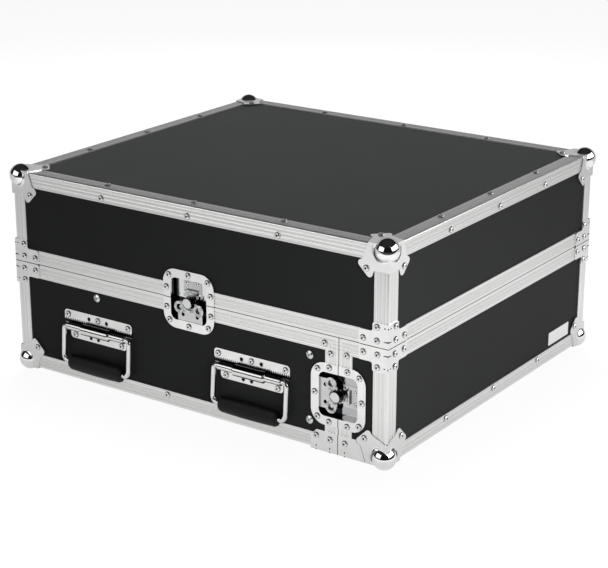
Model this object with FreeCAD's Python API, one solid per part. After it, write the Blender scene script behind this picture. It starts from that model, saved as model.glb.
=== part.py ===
import FreeCAD, Part
import math
import os

# Mixer flight case: a base tub with a lift-off lid and a pull-off front cover.
# All lengths are millimetres. The frame has its origin on the floor under the
# middle of the case, X across the front, Y from the front to the back, Z up.

# Overall case, measured over the outside of the aluminium edging
case_width = 530.0
case_depth = 600.0
base_height = 152.5
lid_height = 127.5
cover_depth = 70.0
foot_height = 12.0

# Walls
ply_thickness = 9.0
edging_wall = 1.5
seam_gap = 0.4
face_clearance = 0.3
cut_overrun = 4.0
hairline = 0.1

# Edge angles and rim channels
angle_flange = 20.5
rim_flange = 19.5
inner_flange = 7.0
tongue_height = 5.0
edging_round = 3.0
groove_width = 1.6
groove_depth = 0.22
angle_groove_shares = (0.26, 0.5, 0.74)

# Cross bar over the front opening
cross_bar_height = 8.0
cross_bar_depth = 22.0
cross_bar_wall = 1.8

# Ball corners: on each face two arms along the edges and a blunt ear between them
ball_radius = 15.5
ball_proud = 7.5
corner_sheet = 1.2
corner_arm = 29.0
corner_arm_flare = 7.0
corner_arm_width = 19.5
corner_ear_side = 25.0
corner_ear_reach = 45.5
corner_waist_round = 3.0
corner_ear_round = 4.5
corner_post_arm = 32.5
corner_notch = 28.0
corner_notch_rise = 10.0

# Brackets bent round the upright edges at the seam, and plates under the cover joint
bracket_sheet = 1.2
bracket_arm = 41.0
bracket_leg = 21.5
bracket_foot = 31.0
bracket_round = 3.0
slot_length = 7.0
slot_width = 1.6
slot_relief = 0.8
slot_inset = 4.8
slot_turn = 45.0
joint_plate_length = 40.0
joint_plate_gap = 8.5
joint_plate_chamfer = 9.0
joint_plate_clearance = 0.8

# Latch dishes: pressed sheet let into the wall, split along the seam
dish_width = 82.0
dish_height = 80.0
dish_round = 20.0
dish_opening_width = 58.0
dish_opening_height = 57.0
dish_opening_round = 9.0
dish_sheet = 1.2
dish_depth = 10.0
cover_latch_drop = 0.75

# Latch working parts, heights counted outwards from the face of the edging
knob_offset = 2.5
knob_radius = 8.0
knob_top = 5.0
knob_rim = 1.5
knob_dimple = 0.5
knob_edge_round = 1.0
knob_shaft_radius = 3.0
knob_foot_radius = 5.0
running_clearance = 0.05
latch_plate_top = -1.8
latch_plate_sheet = 1.5
latch_plate_shoulder = 8.0
latch_plate_nose_radius = 9.5
latch_plate_nose_arc = 9.3
latch_plate_hole_radius = 2.6
latch_plate_hole_spacing = 23.0
latch_plate_hole_rise = 8.0
latch_leg_length = 7.0
claw_half_width = 9.0
claw_sheet = 2.0
claw_tail = 17.0
claw_reach = 11.5
claw_bead_radius = 1.8
claw_travel = 6.0
claw_slot_clearance = 0.3
claw_drop = 0.9
wing_sheet = 1.8
wing_level = 0.2
wing_yoke_inner = 10.3
wing_yoke_width = 2.8
wing_lobe_radius = 8.0
wing_lobe_offset = 15.5
wing_window_radius = 4.4
wing_pin_radius = 1.1
wing_pin_depth = 3.0
keeper_half_width = 14.0
keeper_sheet = 1.5
keeper_lip = 0.8
keeper_start = 3.0
keeper_lip_length = 4.0
keeper_ramp = 2.0
keeper_end_gap = 1.2

# Spring handles
front_handle_inset = 131.5
rear_handle_inset = 143.0
handle_hinge_rise = 0.75
handle_top_width = 118.0
handle_top_reach = 22.0
handle_bottom_width = 98.0
handle_bottom_reach = 17.0
handle_plate_round = 5.0
handle_sheet = 1.5
hinge_wire_radius = 3.5
hinge_tube_wall = 1.6
hinge_tube_length = 98.0
spring_housing_length = 46.0
spring_housing_radius = 7.8
bail_width = 114.0
bail_drop = 50.0
bail_bend_radius = 9.0
bail_end_bend_radius = 5.0
bail_pin_depth = 16.0
bail_side_gap = 1.0
grip_length = 92.0
grip_half_height = 11.4
grip_half_thickness = 6.9
grip_shoulder_share = 0.93
grip_end_share = 0.76
grip_end_length = 4.0
grip_rest_gap = 0.3

# Nineteen-inch rack rails
rack_unit_height = 44.45
rack_opening_width = 453.0
rack_hole_spacing = 465.1
rack_hole_radius = 3.5
front_hole_shares = (0.142857, 0.5, 0.857143)
top_hole_shares = (0.142857, 0.857143)
rail_sheet = 2.0
rail_side_width = 30.0
front_rail_setback = 28.0
top_rail_drop = 13.0
top_rail_start_gap = 3.0
bolt_head_radius = 5.2
bolt_head_height = 2.6
bolt_shank_radius = 2.9
bolt_nut_radius = 5.0
bolt_nut_height = 4.0
front_bolt_low_inset = 14.5
front_bolt_high_inset = 12.0
top_bolt_inset = 142.4
inner_screw_head_radius = 4.0
inner_screw_head_height = 2.0
inner_screw_depth = 7.0
inner_screw_radius = 1.8
inner_screw_inset = 15.0

# Feet and foam
foot_radius = 18.0
foot_taper = 2.5
foot_inset = 72.0
foot_recess_radius = 6.0
foot_recess_depth = 4.0
lid_foam_thickness = 15.0
lid_foam_gap = 6.0
cover_foam_thickness = 20.0
foam_side_gap = 0.3

# Worked-out levels
bottom = foot_height
seam = bottom + base_height
top = seam + lid_height
left = -case_width / 2
front = -case_depth / 2
back = case_depth / 2
joint = front + cover_depth
half_seam = seam_gap / 2
wall = edging_wall + ply_thickness
cover_latch_height = base_height / 2 - cover_latch_drop
handle_hinge_height = base_height / 2 + handle_hinge_rise
joint_plate_height = cover_latch_height - dish_width / 2 - joint_plate_gap
dish_floor = -dish_depth + dish_sheet
latch_plate_bottom = latch_plate_top - latch_plate_sheet
latch_plate_half_width = dish_opening_width / 2 - dish_opening_round - face_clearance
claw_top = latch_plate_bottom - claw_drop
claw_bottom = claw_top - claw_sheet
hinge_tube_radius = hinge_wire_radius + running_clearance + hinge_tube_wall
hinge_out = hinge_tube_radius - edging_wall
# At rest the spring lays the grip against the face of the edging
grip_stand_off = grip_half_thickness + grip_rest_gap - hinge_out
bail_lean = math.degrees(math.asin(grip_stand_off / bail_drop))

V = FreeCAD.Vector
X_AXIS = V(1, 0, 0)
Y_AXIS = V(0, 1, 0)
Z_AXIS = V(0, 0, 1)
ORIGIN = V(0, 0, 0)
nodes = {}


def block(x_span, y_span, z_span):
    size = V(x_span[1] - x_span[0], y_span[1] - y_span[0], z_span[1] - z_span[0])
    return Part.makeBox(size.x, size.y, size.z, V(x_span[0], y_span[0], z_span[0]))


def rounded_wire(points, radii):
    """A closed flat wire through the points, with an arc of each radius at its corner."""
    starts, ends, middles = [], [], []
    count = len(points)
    for index in range(count):
        corner = points[index]
        radius = radii[index]
        before = (points[index - 1] - corner).normalize()
        after = (points[(index + 1) % count] - corner).normalize()
        if radius <= 0:
            starts.append(corner)
            ends.append(corner)
            middles.append(None)
            continue
        half = before.getAngle(after) / 2
        setback = radius / math.tan(half)
        centre = corner + (before + after).normalize() * (radius / math.sin(half))
        starts.append(corner + before * setback)
        ends.append(corner + after * setback)
        middles.append(centre + (corner - centre).normalize() * radius)
    edges = []
    for index in range(count):
        if middles[index] is not None:
            arc = Part.Arc(starts[index], middles[index], ends[index])
            edges.append(arc.toShape())
        following = starts[(index + 1) % count]
        if ends[index].distanceToPoint(following) > 0:
            edges.append(Part.makeLine(ends[index], following))
    return Part.Wire(edges)


def plate(points, radii, low, high):
    """A flat plate of the outline between two heights along Z."""
    raised = [V(x, y, low) for x, y in points]
    face = Part.Face(rounded_wire(raised, radii))
    return face.extrude(V(0, 0, high - low))


def rounded_plate(width, height, radius, low, high):
    half_width = width / 2
    half_height = height / 2
    corners = [(-half_width, -half_height), (half_width, -half_height),
               (half_width, half_height), (-half_width, half_height)]
    return plate(corners, [radius] * len(corners), low, high)


def disc(radius, x, y, low, high):
    return Part.makeCylinder(radius, high - low, V(x, y, low), Z_AXIS)


def turned(points):
    """A body of revolution about Z from (radius, height) points."""
    wire = Part.makePolygon([V(radius, 0, height) for radius, height in points + points[:1]])
    return Part.Face(wire).revolve(ORIGIN, Z_AXIS, 360)


def placed(shape, origin, right, up, outward):
    """Carry a shape from its own X, Y, Z to the given right, up and outward directions."""
    if right.cross(up).dot(outward) < 0:
        shape = shape.mirror(ORIGIN, Z_AXIS)
        outward = -outward
    matrix = FreeCAD.Matrix(right.x, up.x, outward.x, origin.x,
                            right.y, up.y, outward.y, origin.y,
                            right.z, up.z, outward.z, origin.z,
                            0, 0, 0, 1)
    moved = shape.copy()
    moved.Placement = FreeCAD.Placement(matrix).multiply(shape.Placement)
    return moved


def mirrored(shape):
    return shape.mirror(ORIGIN, X_AXIS)


def both_sides(shapes):
    return list(shapes) + [mirrored(shape) for shape in shapes]


def keep(name, shapes):
    shapes = shapes if isinstance(shapes, list) else [shapes]
    solids = []
    for shape in shapes:
        solids.extend(shape.Solids)
    nodes[name] = solids[0] if len(solids) == 1 else Part.makeCompound(solids)


def grooved_edge(length, along, across):
    """Points down a face of an extrusion, with its fine V grooves."""
    points = []
    for share in angle_groove_shares:
        middle = length * share
        for offset, depth in ((-groove_width / 2, 0), (0, groove_depth), (groove_width / 2, 0)):
            points.append(along * (middle + offset) + across * depth)
    return points


def channel_run(outline, radii, origin, along, inward, upward, length, mitres):
    """An extruded profile of (inward, upward) points, mitred at the ends that ask for it."""
    points = [origin + inward * a + upward * b for a, b in outline]
    solid = Part.Face(rounded_wire(points, radii)).extrude(along * length)
    reach = max(a for a, b in outline) + cut_overrun
    low = min(b for a, b in outline) - cut_overrun
    high = max(b for a, b in outline) + cut_overrun
    for end, wanted in enumerate(mitres):
        if not wanted:
            continue
        step = along * (1 - 2 * end)
        start = origin + along * (length * end) + step * hairline
        corners = [-step * cut_overrun - inward * cut_overrun,
                   step * reach + inward * reach,
                   -step * cut_overrun + inward * reach]
        wedge = Part.makePolygon([start + upward * low + c for c in corners + corners[:1]])
        solid = solid.cut(Part.Face(wedge).extrude(upward * (high - low)))
    return solid


def angle_outline():
    """Section of an edge angle: two grooved flanges with a rounded outer edge."""
    on_side = [(p.x, p.y) for p in grooved_edge(angle_flange, Y_AXIS, X_AXIS)]
    on_face = [(p.x, p.y) for p in grooved_edge(angle_flange, X_AXIS, Y_AXIS)]
    outline = [(0, 0)] + on_face
    outline += [(angle_flange, 0), (angle_flange, edging_wall), (edging_wall, edging_wall),
                (edging_wall, angle_flange), (0, angle_flange)]
    outline += on_side[::-1]
    return outline, [edging_round] + [0] * (len(outline) - 1)


def rim_outline(with_tongue):
    """Section of a rim channel, upwards being away from the seam into the wall."""
    on_side = [(p.x, p.y) for p in grooved_edge(rim_flange, Y_AXIS, X_AXIS)]
    outline = [(0, 0)] + on_side + [(0, rim_flange), (edging_wall, rim_flange),
                                    (edging_wall, edging_wall), (wall, edging_wall)]
    if with_tongue:
        outline += [(wall, inner_flange), (wall + edging_wall, inner_flange),
                    (wall + edging_wall, -tongue_height - seam_gap),
                    (wall + face_clearance, -tongue_height - seam_gap), (wall + face_clearance, 0)]
    else:
        outline += [(wall, 0)]
    return outline, [0] * len(outline)


# Faces that carry the latches and handles: right, up and outward, seen from outside
side_face = (-Y_AXIS, Z_AXIS, -X_AXIS)
lid_latch_frame = (V(left, 0, seam),) + side_face
cover_latch_frame = (V(left, joint, bottom + cover_latch_height), -Z_AXIS, -Y_AXIS, -X_AXIS)
latch_frames = (lid_latch_frame, cover_latch_frame)


def latch_hole(frame, clearance, depth):
    width = dish_opening_width + dish_sheet * 2 + clearance * 2
    height = dish_opening_height + dish_sheet * 2 + clearance * 2
    radius = dish_opening_round + dish_sheet + clearance
    return placed(rounded_plate(width, height, radius, -depth, cut_overrun), *frame)


def latch_cut(solid, depth):
    """Let the dishes of both sides into a wall or an edging."""
    for frame in latch_frames:
        hole = latch_hole(frame, face_clearance, depth)
        for tool in (hole, mirrored(hole)):
            if solid.distToShape(tool)[0] <= 0:
                solid = solid.cut(tool)
    return solid


def bolt_cut(solid):
    """Clearance holes for the rack rail bolts through a side wall."""
    for place, height in rail_bolt_places:
        tool = Part.makeCylinder(bolt_shank_radius, wall + cut_overrun * 2,
                                 V(left - cut_overrun, place, height), X_AXIS)
        for hole in (tool, mirrored(tool)):
            solid = solid.cut(hole)
    return solid


# Handle and rack rail places, counted from the joint, the back, the floor and the seam
handle_places = (joint + front_handle_inset, back - rear_handle_inset)
rail_face_width = -left - wall - rack_opening_width / 2
front_rail_face = joint + front_rail_setback
front_rail_low = bottom + wall + hairline
front_rail_high = seam - half_seam - cross_bar_height - hairline
top_rail_face = seam - top_rail_drop
top_rail_front = front_rail_face + rail_side_width + top_rail_start_gap
top_rail_back = back - wall - edging_wall - face_clearance
front_bolt_place = front_rail_face + rail_side_width / 2
rail_bolt_places = ((front_bolt_place, bottom + angle_flange + front_bolt_low_inset),
                    (front_bolt_place, seam - rim_flange - front_bolt_high_inset),
                    (back - top_bolt_inset, top_rail_face - rail_side_width / 2))


def build_base_panels():
    floor_level = bottom + edging_wall
    wall_low = floor_level + ply_thickness
    wall_high = seam - half_seam - edging_wall
    side = block((left + edging_wall, left + wall), (joint + half_seam + edging_wall, back - wall),
                 (wall_low, wall_high))
    side = bolt_cut(latch_cut(side, wall + cut_overrun))
    keep("base_side_left", side)
    keep("base_side_right", mirrored(side))
    floor = block((left + edging_wall, -left - edging_wall),
                  (joint + half_seam + edging_wall, back - edging_wall), (floor_level, wall_low))
    keep("base_floor", floor)
    rear = block((left + edging_wall, -left - edging_wall), (back - wall, back - edging_wall),
                 (wall_low, wall_high))
    keep("base_back", rear)


def build_lid_panels():
    low = seam + half_seam + edging_wall
    under_top = top - wall
    keep("lid_top", block((left + edging_wall, -left - edging_wall),
                          (front + edging_wall, back - edging_wall), (under_top, top - edging_wall)))
    side = block((left + edging_wall, left + wall), (front + wall, back - wall), (low, under_top))
    keep("lid_side_panels", both_sides([latch_cut(side, wall + cut_overrun)]))
    ends = []
    for start in (front + edging_wall, back - wall):
        ends.append(block((left + edging_wall, -left - edging_wall), (start, start + ply_thickness),
                          (low, under_top)))
    keep("lid_end_panels", ends)


def build_cover_panels():
    floor_level = bottom + edging_wall
    wall_low = floor_level + ply_thickness
    wall_high = seam - half_seam - edging_wall
    rear = joint - half_seam - edging_wall
    keep("cover_floor", block((left + edging_wall, -left - edging_wall),
                              (front + edging_wall, rear), (floor_level, wall_low)))
    keep("cover_front", block((left + edging_wall, -left - edging_wall),
                              (front + edging_wall, front + wall), (wall_low, wall_high)))
    side = block((left + edging_wall, left + wall), (front + wall, rear), (wall_low, wall_high))
    keep("cover_side_panels", both_sides([latch_cut(side, wall + cut_overrun)]))


def upright(outline, radii, x, y, inward_x, inward_y, low, high):
    return channel_run(outline, radii, V(x, y, low), Z_AXIS, X_AXIS * inward_x, Y_AXIS * inward_y,
                       high - low, (False, False))


def build_edge_angles():
    outline, radii = angle_outline()
    above = bottom + angle_flange
    below = top - angle_flange
    rim_low = seam - half_seam - rim_flange
    rim_high = seam + half_seam + rim_flange

    def ring_run(x, y, along, inward, upward, level, length, mitres):
        return channel_run(outline, radii, V(x, y, level), along, inward, upward, length, mitres)

    base_side_start = joint + half_seam
    side = ring_run(left, base_side_start, Y_AXIS, X_AXIS, Z_AXIS, bottom,
                    back - base_side_start, (False, True))
    rear = ring_run(left, back, X_AXIS, -Y_AXIS, Z_AXIS, bottom, case_width, (True, True))
    post = upright(outline, radii, left, back, 1, -1, above + hairline, rim_low)
    keep("base_edge_angles", both_sides([side, post]) + [rear])

    cover_side = ring_run(left, front, Y_AXIS, X_AXIS, Z_AXIS, bottom,
                          cover_depth - half_seam, (True, False))
    cover_front = ring_run(left, front, X_AXIS, Y_AXIS, Z_AXIS, bottom, case_width, (True, True))
    cover_post = upright(outline, radii, left, front, 1, 1, above + hairline, rim_low)
    keep("cover_edge_angles", both_sides([cover_side, cover_post]) + [cover_front])

    lid_side = ring_run(left, front, Y_AXIS, X_AXIS, -Z_AXIS, top, case_depth, (True, True))
    lid_ends = [ring_run(left, front, X_AXIS, Y_AXIS, -Z_AXIS, top, case_width, (True, True)),
                ring_run(left, back, X_AXIS, -Y_AXIS, -Z_AXIS, top, case_width, (True, True))]
    posts = [upright(outline, radii, left, front, 1, 1, rim_high, below - hairline),
             upright(outline, radii, left, back, 1, -1, rim_high, below - hairline)]
    keep("lid_edge_angles", both_sides([lid_side] + posts) + lid_ends)


def build_rim_channels():
    tongued, tongued_radii = rim_outline(True)
    plain, plain_radii = rim_outline(False)
    low_edge = seam - half_seam
    high_edge = seam + half_seam
    dish_floor_depth = dish_depth + face_clearance

    side_start = joint + half_seam
    side = channel_run(tongued, tongued_radii, V(left, side_start, low_edge), Y_AXIS, X_AXIS,
                       -Z_AXIS, back - side_start, (False, True))
    rear = channel_run(tongued, tongued_radii, V(left, back, low_edge), X_AXIS, -Y_AXIS,
                       -Z_AXIS, case_width, (True, True))
    # The channel of the front opening starts below the seam channel and stands on the floor's
    upright_length = base_height - half_seam - rim_flange - angle_flange - hairline
    jamb = channel_run(tongued, tongued_radii, V(left, side_start, bottom + angle_flange), Z_AXIS,
                       X_AXIS, Y_AXIS, upright_length, (False, False))
    side = latch_cut(side, dish_floor_depth)
    jamb = latch_cut(jamb, dish_floor_depth)
    keep("base_rim_channels", both_sides([side]) + [rear])

    sill_outline = [(edging_wall, 0), (edging_wall, edging_wall), (wall, edging_wall),
                    (wall, inner_flange), (wall + edging_wall, inner_flange),
                    (wall + edging_wall, -tongue_height - seam_gap),
                    (wall + face_clearance, -tongue_height - seam_gap), (wall + face_clearance, 0)]
    sill_end = wall + edging_wall + face_clearance * 2
    sill = channel_run(sill_outline, [0] * len(sill_outline),
                       V(left + sill_end, side_start, bottom), X_AXIS, Z_AXIS, Y_AXIS,
                       case_width - sill_end * 2, (False, False))
    keep("front_opening_channels", both_sides([jamb]) + [sill])

    lid_side = channel_run(plain, plain_radii, V(left, front, high_edge), Y_AXIS, X_AXIS,
                           Z_AXIS, case_depth, (True, True))
    lid_ends = [channel_run(plain, plain_radii, V(left, front, high_edge), X_AXIS, Y_AXIS,
                            Z_AXIS, case_width, (True, True)),
                channel_run(plain, plain_radii, V(left, back, high_edge), X_AXIS, -Y_AXIS,
                            Z_AXIS, case_width, (True, True))]
    keep("lid_rim_channels", both_sides([latch_cut(lid_side, dish_floor_depth)]) + lid_ends)

    rear_edge = joint - half_seam
    cover_side = channel_run(plain, plain_radii, V(left, front, low_edge), Y_AXIS, X_AXIS,
                             -Z_AXIS, cover_depth - half_seam, (True, False))
    cover_front = channel_run(plain, plain_radii, V(left, front, low_edge), X_AXIS, Y_AXIS,
                              -Z_AXIS, case_width, (True, True))
    cover_jamb = channel_run(plain, plain_radii, V(left, rear_edge, bottom + angle_flange),
                             Z_AXIS, X_AXIS, -Y_AXIS, upright_length, (False, False))
    keep("cover_rim_channels", both_sides([cover_side, latch_cut(cover_jamb, dish_floor_depth)])
         + [cover_front])


def build_cross_bar():
    """Hollow bar across the top of the front opening, between the side channels."""
    half = -left - wall - edging_wall - face_clearance
    start = joint + half_seam
    high = seam - half_seam
    low = high - cross_bar_height
    bar = block((-half, half), (start, start + cross_bar_depth), (low, high))
    hollow = block((-half - cut_overrun, half + cut_overrun),
                   (start + cross_bar_wall, start + cross_bar_depth - cross_bar_wall),
                   (low + cross_bar_wall, high - cross_bar_wall))
    keep("front_cross_bar", bar.cut(hollow))


def corner_shield(far_end):
    """One face of a ball corner: arms along both edges that splay into a blunt ear.

    The arm along the second edge splays like the first, or ends level on the upright
    edge, or rises in a V from it.
    """
    low = -corner_sheet
    ends = {"splayed": [(corner_arm_width, corner_arm + corner_arm_flare), (low, corner_arm)],
            "level": [(angle_flange, corner_post_arm), (low, corner_post_arm)],
            "notched": [(angle_flange, corner_notch + corner_notch_rise), (low, corner_notch)]}
    points = [(low, low), (corner_arm, low), (corner_arm + corner_arm_flare, corner_arm_width),
              (corner_ear_reach, corner_ear_side), (corner_ear_side, corner_ear_reach)]
    radii = [0, 0, corner_waist_round, corner_ear_round, corner_ear_round, corner_waist_round, 0]
    return plate(points + ends[far_end], radii, 0, corner_sheet)


def ball_corner(upright_end):
    """Ball corner at the origin, for a case that fills the positive octant."""
    inset = ball_radius - ball_proud
    ball = Part.makeSphere(ball_radius, V(inset, inset, inset))
    upright = corner_shield(upright_end)
    faces = [placed(corner_shield("splayed"), ORIGIN, X_AXIS, Y_AXIS, -Z_AXIS),
             placed(upright, ORIGIN, Y_AXIS, Z_AXIS, -X_AXIS),
             placed(upright, ORIGIN, X_AXIS, Z_AXIS, -Y_AXIS)]
    body = ball.multiFuse(faces)
    inside = ball_radius * 2 + corner_ear_reach
    return body.cut(block((0, inside), (0, inside), (0, inside))).removeSplitter()


def build_ball_corners():
    lower = ball_corner("notched")
    lower_front = placed(lower, V(left, front, bottom), X_AXIS, Y_AXIS, Z_AXIS)
    upper_front = placed(ball_corner("level"), V(left, front, top), X_AXIS, Y_AXIS, -Z_AXIS)
    lower_back = lower_front.mirror(ORIGIN, Y_AXIS)
    # In a low case the ear of the cover's corner gives way to the latch beside it
    room = rounded_plate(dish_width + face_clearance * 2, dish_height + face_clearance * 2,
                         dish_round + face_clearance, 0, dish_sheet + cut_overrun)
    room = placed(room, *cover_latch_frame)
    if lower_front.distToShape(room)[0] <= 0:
        lower_front = lower_front.cut(room)
    upper_back = upper_front.mirror(ORIGIN, Y_AXIS)
    keep("cover_ball_corners", both_sides([lower_front]))
    keep("base_ball_corners", both_sides([lower_back]))
    keep("lid_ball_corners", both_sides([upper_front, upper_back]))


def corner_bracket(outwards):
    """Bracket bent round an upright edge beside the seam; the case fills positive X and Y."""
    high = bracket_foot
    foot = bracket_leg
    outline = [(0, 0), (bracket_arm, 0), (bracket_arm, rim_flange), (foot, rim_flange),
               (foot, high), (0, high)]
    radii = [0, bracket_round, bracket_round, bracket_round, bracket_round, 0]
    flat = plate([(x - bracket_sheet * (x == 0), z) for x, z in outline], radii, 0, bracket_sheet)
    on_front = placed(flat, ORIGIN, X_AXIS, Z_AXIS * outwards, -Y_AXIS)
    on_side = placed(flat, ORIGIN, Y_AXIS, Z_AXIS * outwards, -X_AXIS)
    body = on_front.fuse(on_side).removeSplitter()
    # Two short stiffening slots are pressed through on the bend
    for level in (rim_flange / 2, high - slot_inset):
        cutter = block((-slot_length / 2, slot_length / 2), (-slot_relief, slot_relief),
                       (-slot_width / 2, slot_width / 2))
        cutter.rotate(ORIGIN, Z_AXIS, -slot_turn)
        cutter.translate(V(-bracket_sheet, -bracket_sheet, level * outwards))
        body = body.cut(cutter)
    return body


def joint_plate(flat, far_sign):
    """Plate under and beside the cover joint: one outline bent round the lower edge."""
    along = Y_AXIS * far_sign
    on_side = placed(flat, ORIGIN, along, Z_AXIS, -X_AXIS)
    on_floor = placed(flat, ORIGIN, along, X_AXIS, -Z_AXIS)
    return on_side.fuse(on_floor).removeSplitter()


def base_joint_outline():
    length = joint_plate_length
    chamfer = joint_plate_chamfer
    outline = [(0, -bracket_sheet), (length, -bracket_sheet), (length, joint_plate_height - chamfer),
               (length - chamfer, joint_plate_height), (0, joint_plate_height)]
    return plate(outline, [0, 0, bracket_round, bracket_round, 0], 0, bracket_sheet)


def cover_joint_outline():
    """The cover's plate fills the way to the ball corner and is cut along its splayed ear."""
    corner_at = cover_depth - half_seam
    length = corner_at - corner_arm
    outline = [(0, -bracket_sheet), (length, -bracket_sheet), (length, joint_plate_height),
               (0, joint_plate_height)]
    flat = plate(outline, [0] * len(outline), 0, bracket_sheet)
    tool = placed(corner_shield("splayed"), V(corner_at - joint_plate_clearance, 0, 0),
                  -X_AXIS, Y_AXIS, Z_AXIS)
    return flat.cut(tool)


def build_brackets():
    low_edge = seam - half_seam
    high_edge = seam + half_seam
    lower = corner_bracket(-1)
    upper = corner_bracket(1)
    cover_corner = lower.copy()
    cover_corner.translate(V(left, front, low_edge))
    base_corner = cover_corner.mirror(ORIGIN, Y_AXIS)
    lid_corner = upper.copy()
    lid_corner.translate(V(left, front, high_edge))
    base_joint = joint_plate(base_joint_outline(), 1)
    base_joint.translate(V(left, joint + half_seam, bottom))
    cover_joint = joint_plate(cover_joint_outline(), -1)
    cover_joint.translate(V(left, joint - half_seam, bottom))
    keep("cover_brackets", both_sides([cover_corner, cover_joint]))
    keep("base_brackets", both_sides([base_corner, base_joint]))
    keep("lid_brackets", both_sides([lid_corner, lid_corner.mirror(ORIGIN, Y_AXIS)]))


def dish_halves():
    """The pressed dish, split along the seam: the half that carries the works, then the keeper's."""
    flange = rounded_plate(dish_width, dish_height, dish_round, 0, dish_sheet)
    outer = rounded_plate(dish_opening_width + dish_sheet * 2, dish_opening_height + dish_sheet * 2,
                          dish_opening_round + dish_sheet, -dish_depth, 0)
    hollow = rounded_plate(dish_opening_width, dish_opening_height, dish_opening_round,
                           dish_floor, cut_overrun)
    dish = flange.fuse(outer).cut(hollow).removeSplitter()
    half = dish_width
    works_side = block((-half, half), (-half, -half_seam), (-half, half))
    keeper_side = block((-half, half), (half_seam, half), (-half, half))
    return dish.common(works_side), dish.common(keeper_side)


def latch_plate():
    """Folded plate over the works: a rounded shoulder at the rim that tapers to the knob."""
    wide = latch_plate_half_width
    foot = -dish_opening_height / 2
    shoulder = foot + latch_plate_shoulder * 2
    nose = latch_plate_nose_radius
    knob_at = -knob_offset
    points = [(-wide, foot), (wide, foot), (wide, shoulder), (nose, knob_at), (nose, knob_at + nose),
              (-nose, knob_at + nose), (-nose, knob_at), (-wide, shoulder)]
    radii = [0, 0, latch_plate_shoulder, nose / 2, latch_plate_nose_arc,
             latch_plate_nose_arc, nose / 2, latch_plate_shoulder]
    body = plate(points, radii, latch_plate_bottom, latch_plate_top)
    heel = block((-wide, wide), (foot, foot + latch_plate_sheet), (dish_floor, latch_plate_bottom))
    body = body.fuse(heel)
    for side in (-1, 1):
        inner = side * (claw_half_width + claw_slot_clearance * 2)
        outer = inner + side * latch_plate_sheet
        leg_span = (knob_at - latch_leg_length * 2, knob_at - latch_leg_length)
        leg = block((min(inner, outer), max(inner, outer)), leg_span, (dish_floor, latch_plate_bottom))
        body = body.fuse(leg)
        hole = disc(latch_plate_hole_radius, side * latch_plate_hole_spacing / 2,
                    foot + latch_plate_hole_rise, latch_plate_bottom - cut_overrun, cut_overrun)
        body = body.cut(hole)
    bore = disc(knob_shaft_radius + running_clearance, 0, knob_at,
                latch_plate_bottom - cut_overrun, cut_overrun)
    return body.cut(bore).removeSplitter()


def latch_knob():
    """Turned knob, shaft and headed foot, cross-drilled for the wing's pins."""
    low = latch_plate_top + face_clearance
    foot_high = claw_bottom - face_clearance
    foot_low = dish_floor + face_clearance
    inner = knob_radius - knob_rim
    profile = [(0, foot_low), (knob_foot_radius, foot_low), (knob_foot_radius, foot_high),
               (knob_shaft_radius, foot_high), (knob_shaft_radius, low), (knob_radius, low),
               (knob_radius, knob_top - knob_edge_round), (knob_radius - knob_edge_round, knob_top),
               (inner, knob_top), (inner - knob_dimple, knob_top - knob_dimple),
               (0, knob_top - knob_dimple)]
    body = turned(profile)
    drill = Part.makeCylinder(wing_pin_radius + running_clearance,
                              wing_pin_depth + face_clearance + cut_overrun,
                              V(knob_radius - wing_pin_depth - face_clearance, 0, wing_level), X_AXIS)
    body = body.cut(drill).cut(drill.mirror(ORIGIN, X_AXIS))
    body.translate(V(0, -knob_offset, 0))
    return body


def latch_wing():
    """Folding wing: two windowed lobes on a yoke that clears the knob, with its hinge pins."""
    low = wing_level - wing_sheet / 2
    high = wing_level + wing_sheet / 2
    outer = wing_yoke_inner + wing_yoke_width
    yoke = disc(outer, 0, 0, low, high).cut(disc(wing_yoke_inner, 0, 0, low - cut_overrun, cut_overrun))
    yoke = yoke.cut(block((-outer, outer), (0, outer), (-outer, outer)))
    wing = yoke
    for side in (-1, 1):
        x = side * wing_lobe_offset
        y = -wing_lobe_radius
        lobe = disc(wing_lobe_radius, x, y, low, high)
        lobe = lobe.cut(disc(wing_yoke_inner, 0, 0, low - cut_overrun, cut_overrun))
        window = disc(wing_window_radius, x, y, low - cut_overrun, cut_overrun)
        pin_start = knob_radius - wing_pin_depth
        pin = Part.makeCylinder(wing_pin_radius, wing_yoke_inner + wing_yoke_width - pin_start,
                                V(side * pin_start, 0, wing_level), X_AXIS * side)
        wing = wing.fuse(lobe).cut(window).fuse(pin)
    wing.translate(V(0, -knob_offset, 0))
    return wing.removeSplitter()


def latch_claw():
    """Sliding claw: a strap slotted for the shaft, with a rolled bead at its tip."""
    start = -knob_offset - claw_tail
    points = [(-claw_half_width, start), (claw_half_width, start), (claw_half_width, claw_reach),
              (-claw_half_width, claw_reach)]
    strap = plate(points, [claw_bead_radius, claw_bead_radius, 0, 0], claw_bottom, claw_top)
    slot_radius = knob_shaft_radius + claw_slot_clearance
    for place in (-knob_offset, -knob_offset - claw_travel):
        strap = strap.cut(disc(slot_radius, 0, place, claw_bottom - cut_overrun, cut_overrun))
    strap = strap.cut(block((-slot_radius, slot_radius), (-knob_offset - claw_travel, -knob_offset),
                            (claw_bottom - cut_overrun, cut_overrun)))
    bead = Part.makeCylinder(claw_bead_radius, claw_half_width * 2,
                             V(-claw_half_width, claw_reach, claw_top - claw_bead_radius / 2), X_AXIS)
    return strap.fuse(bead).removeSplitter()


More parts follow.
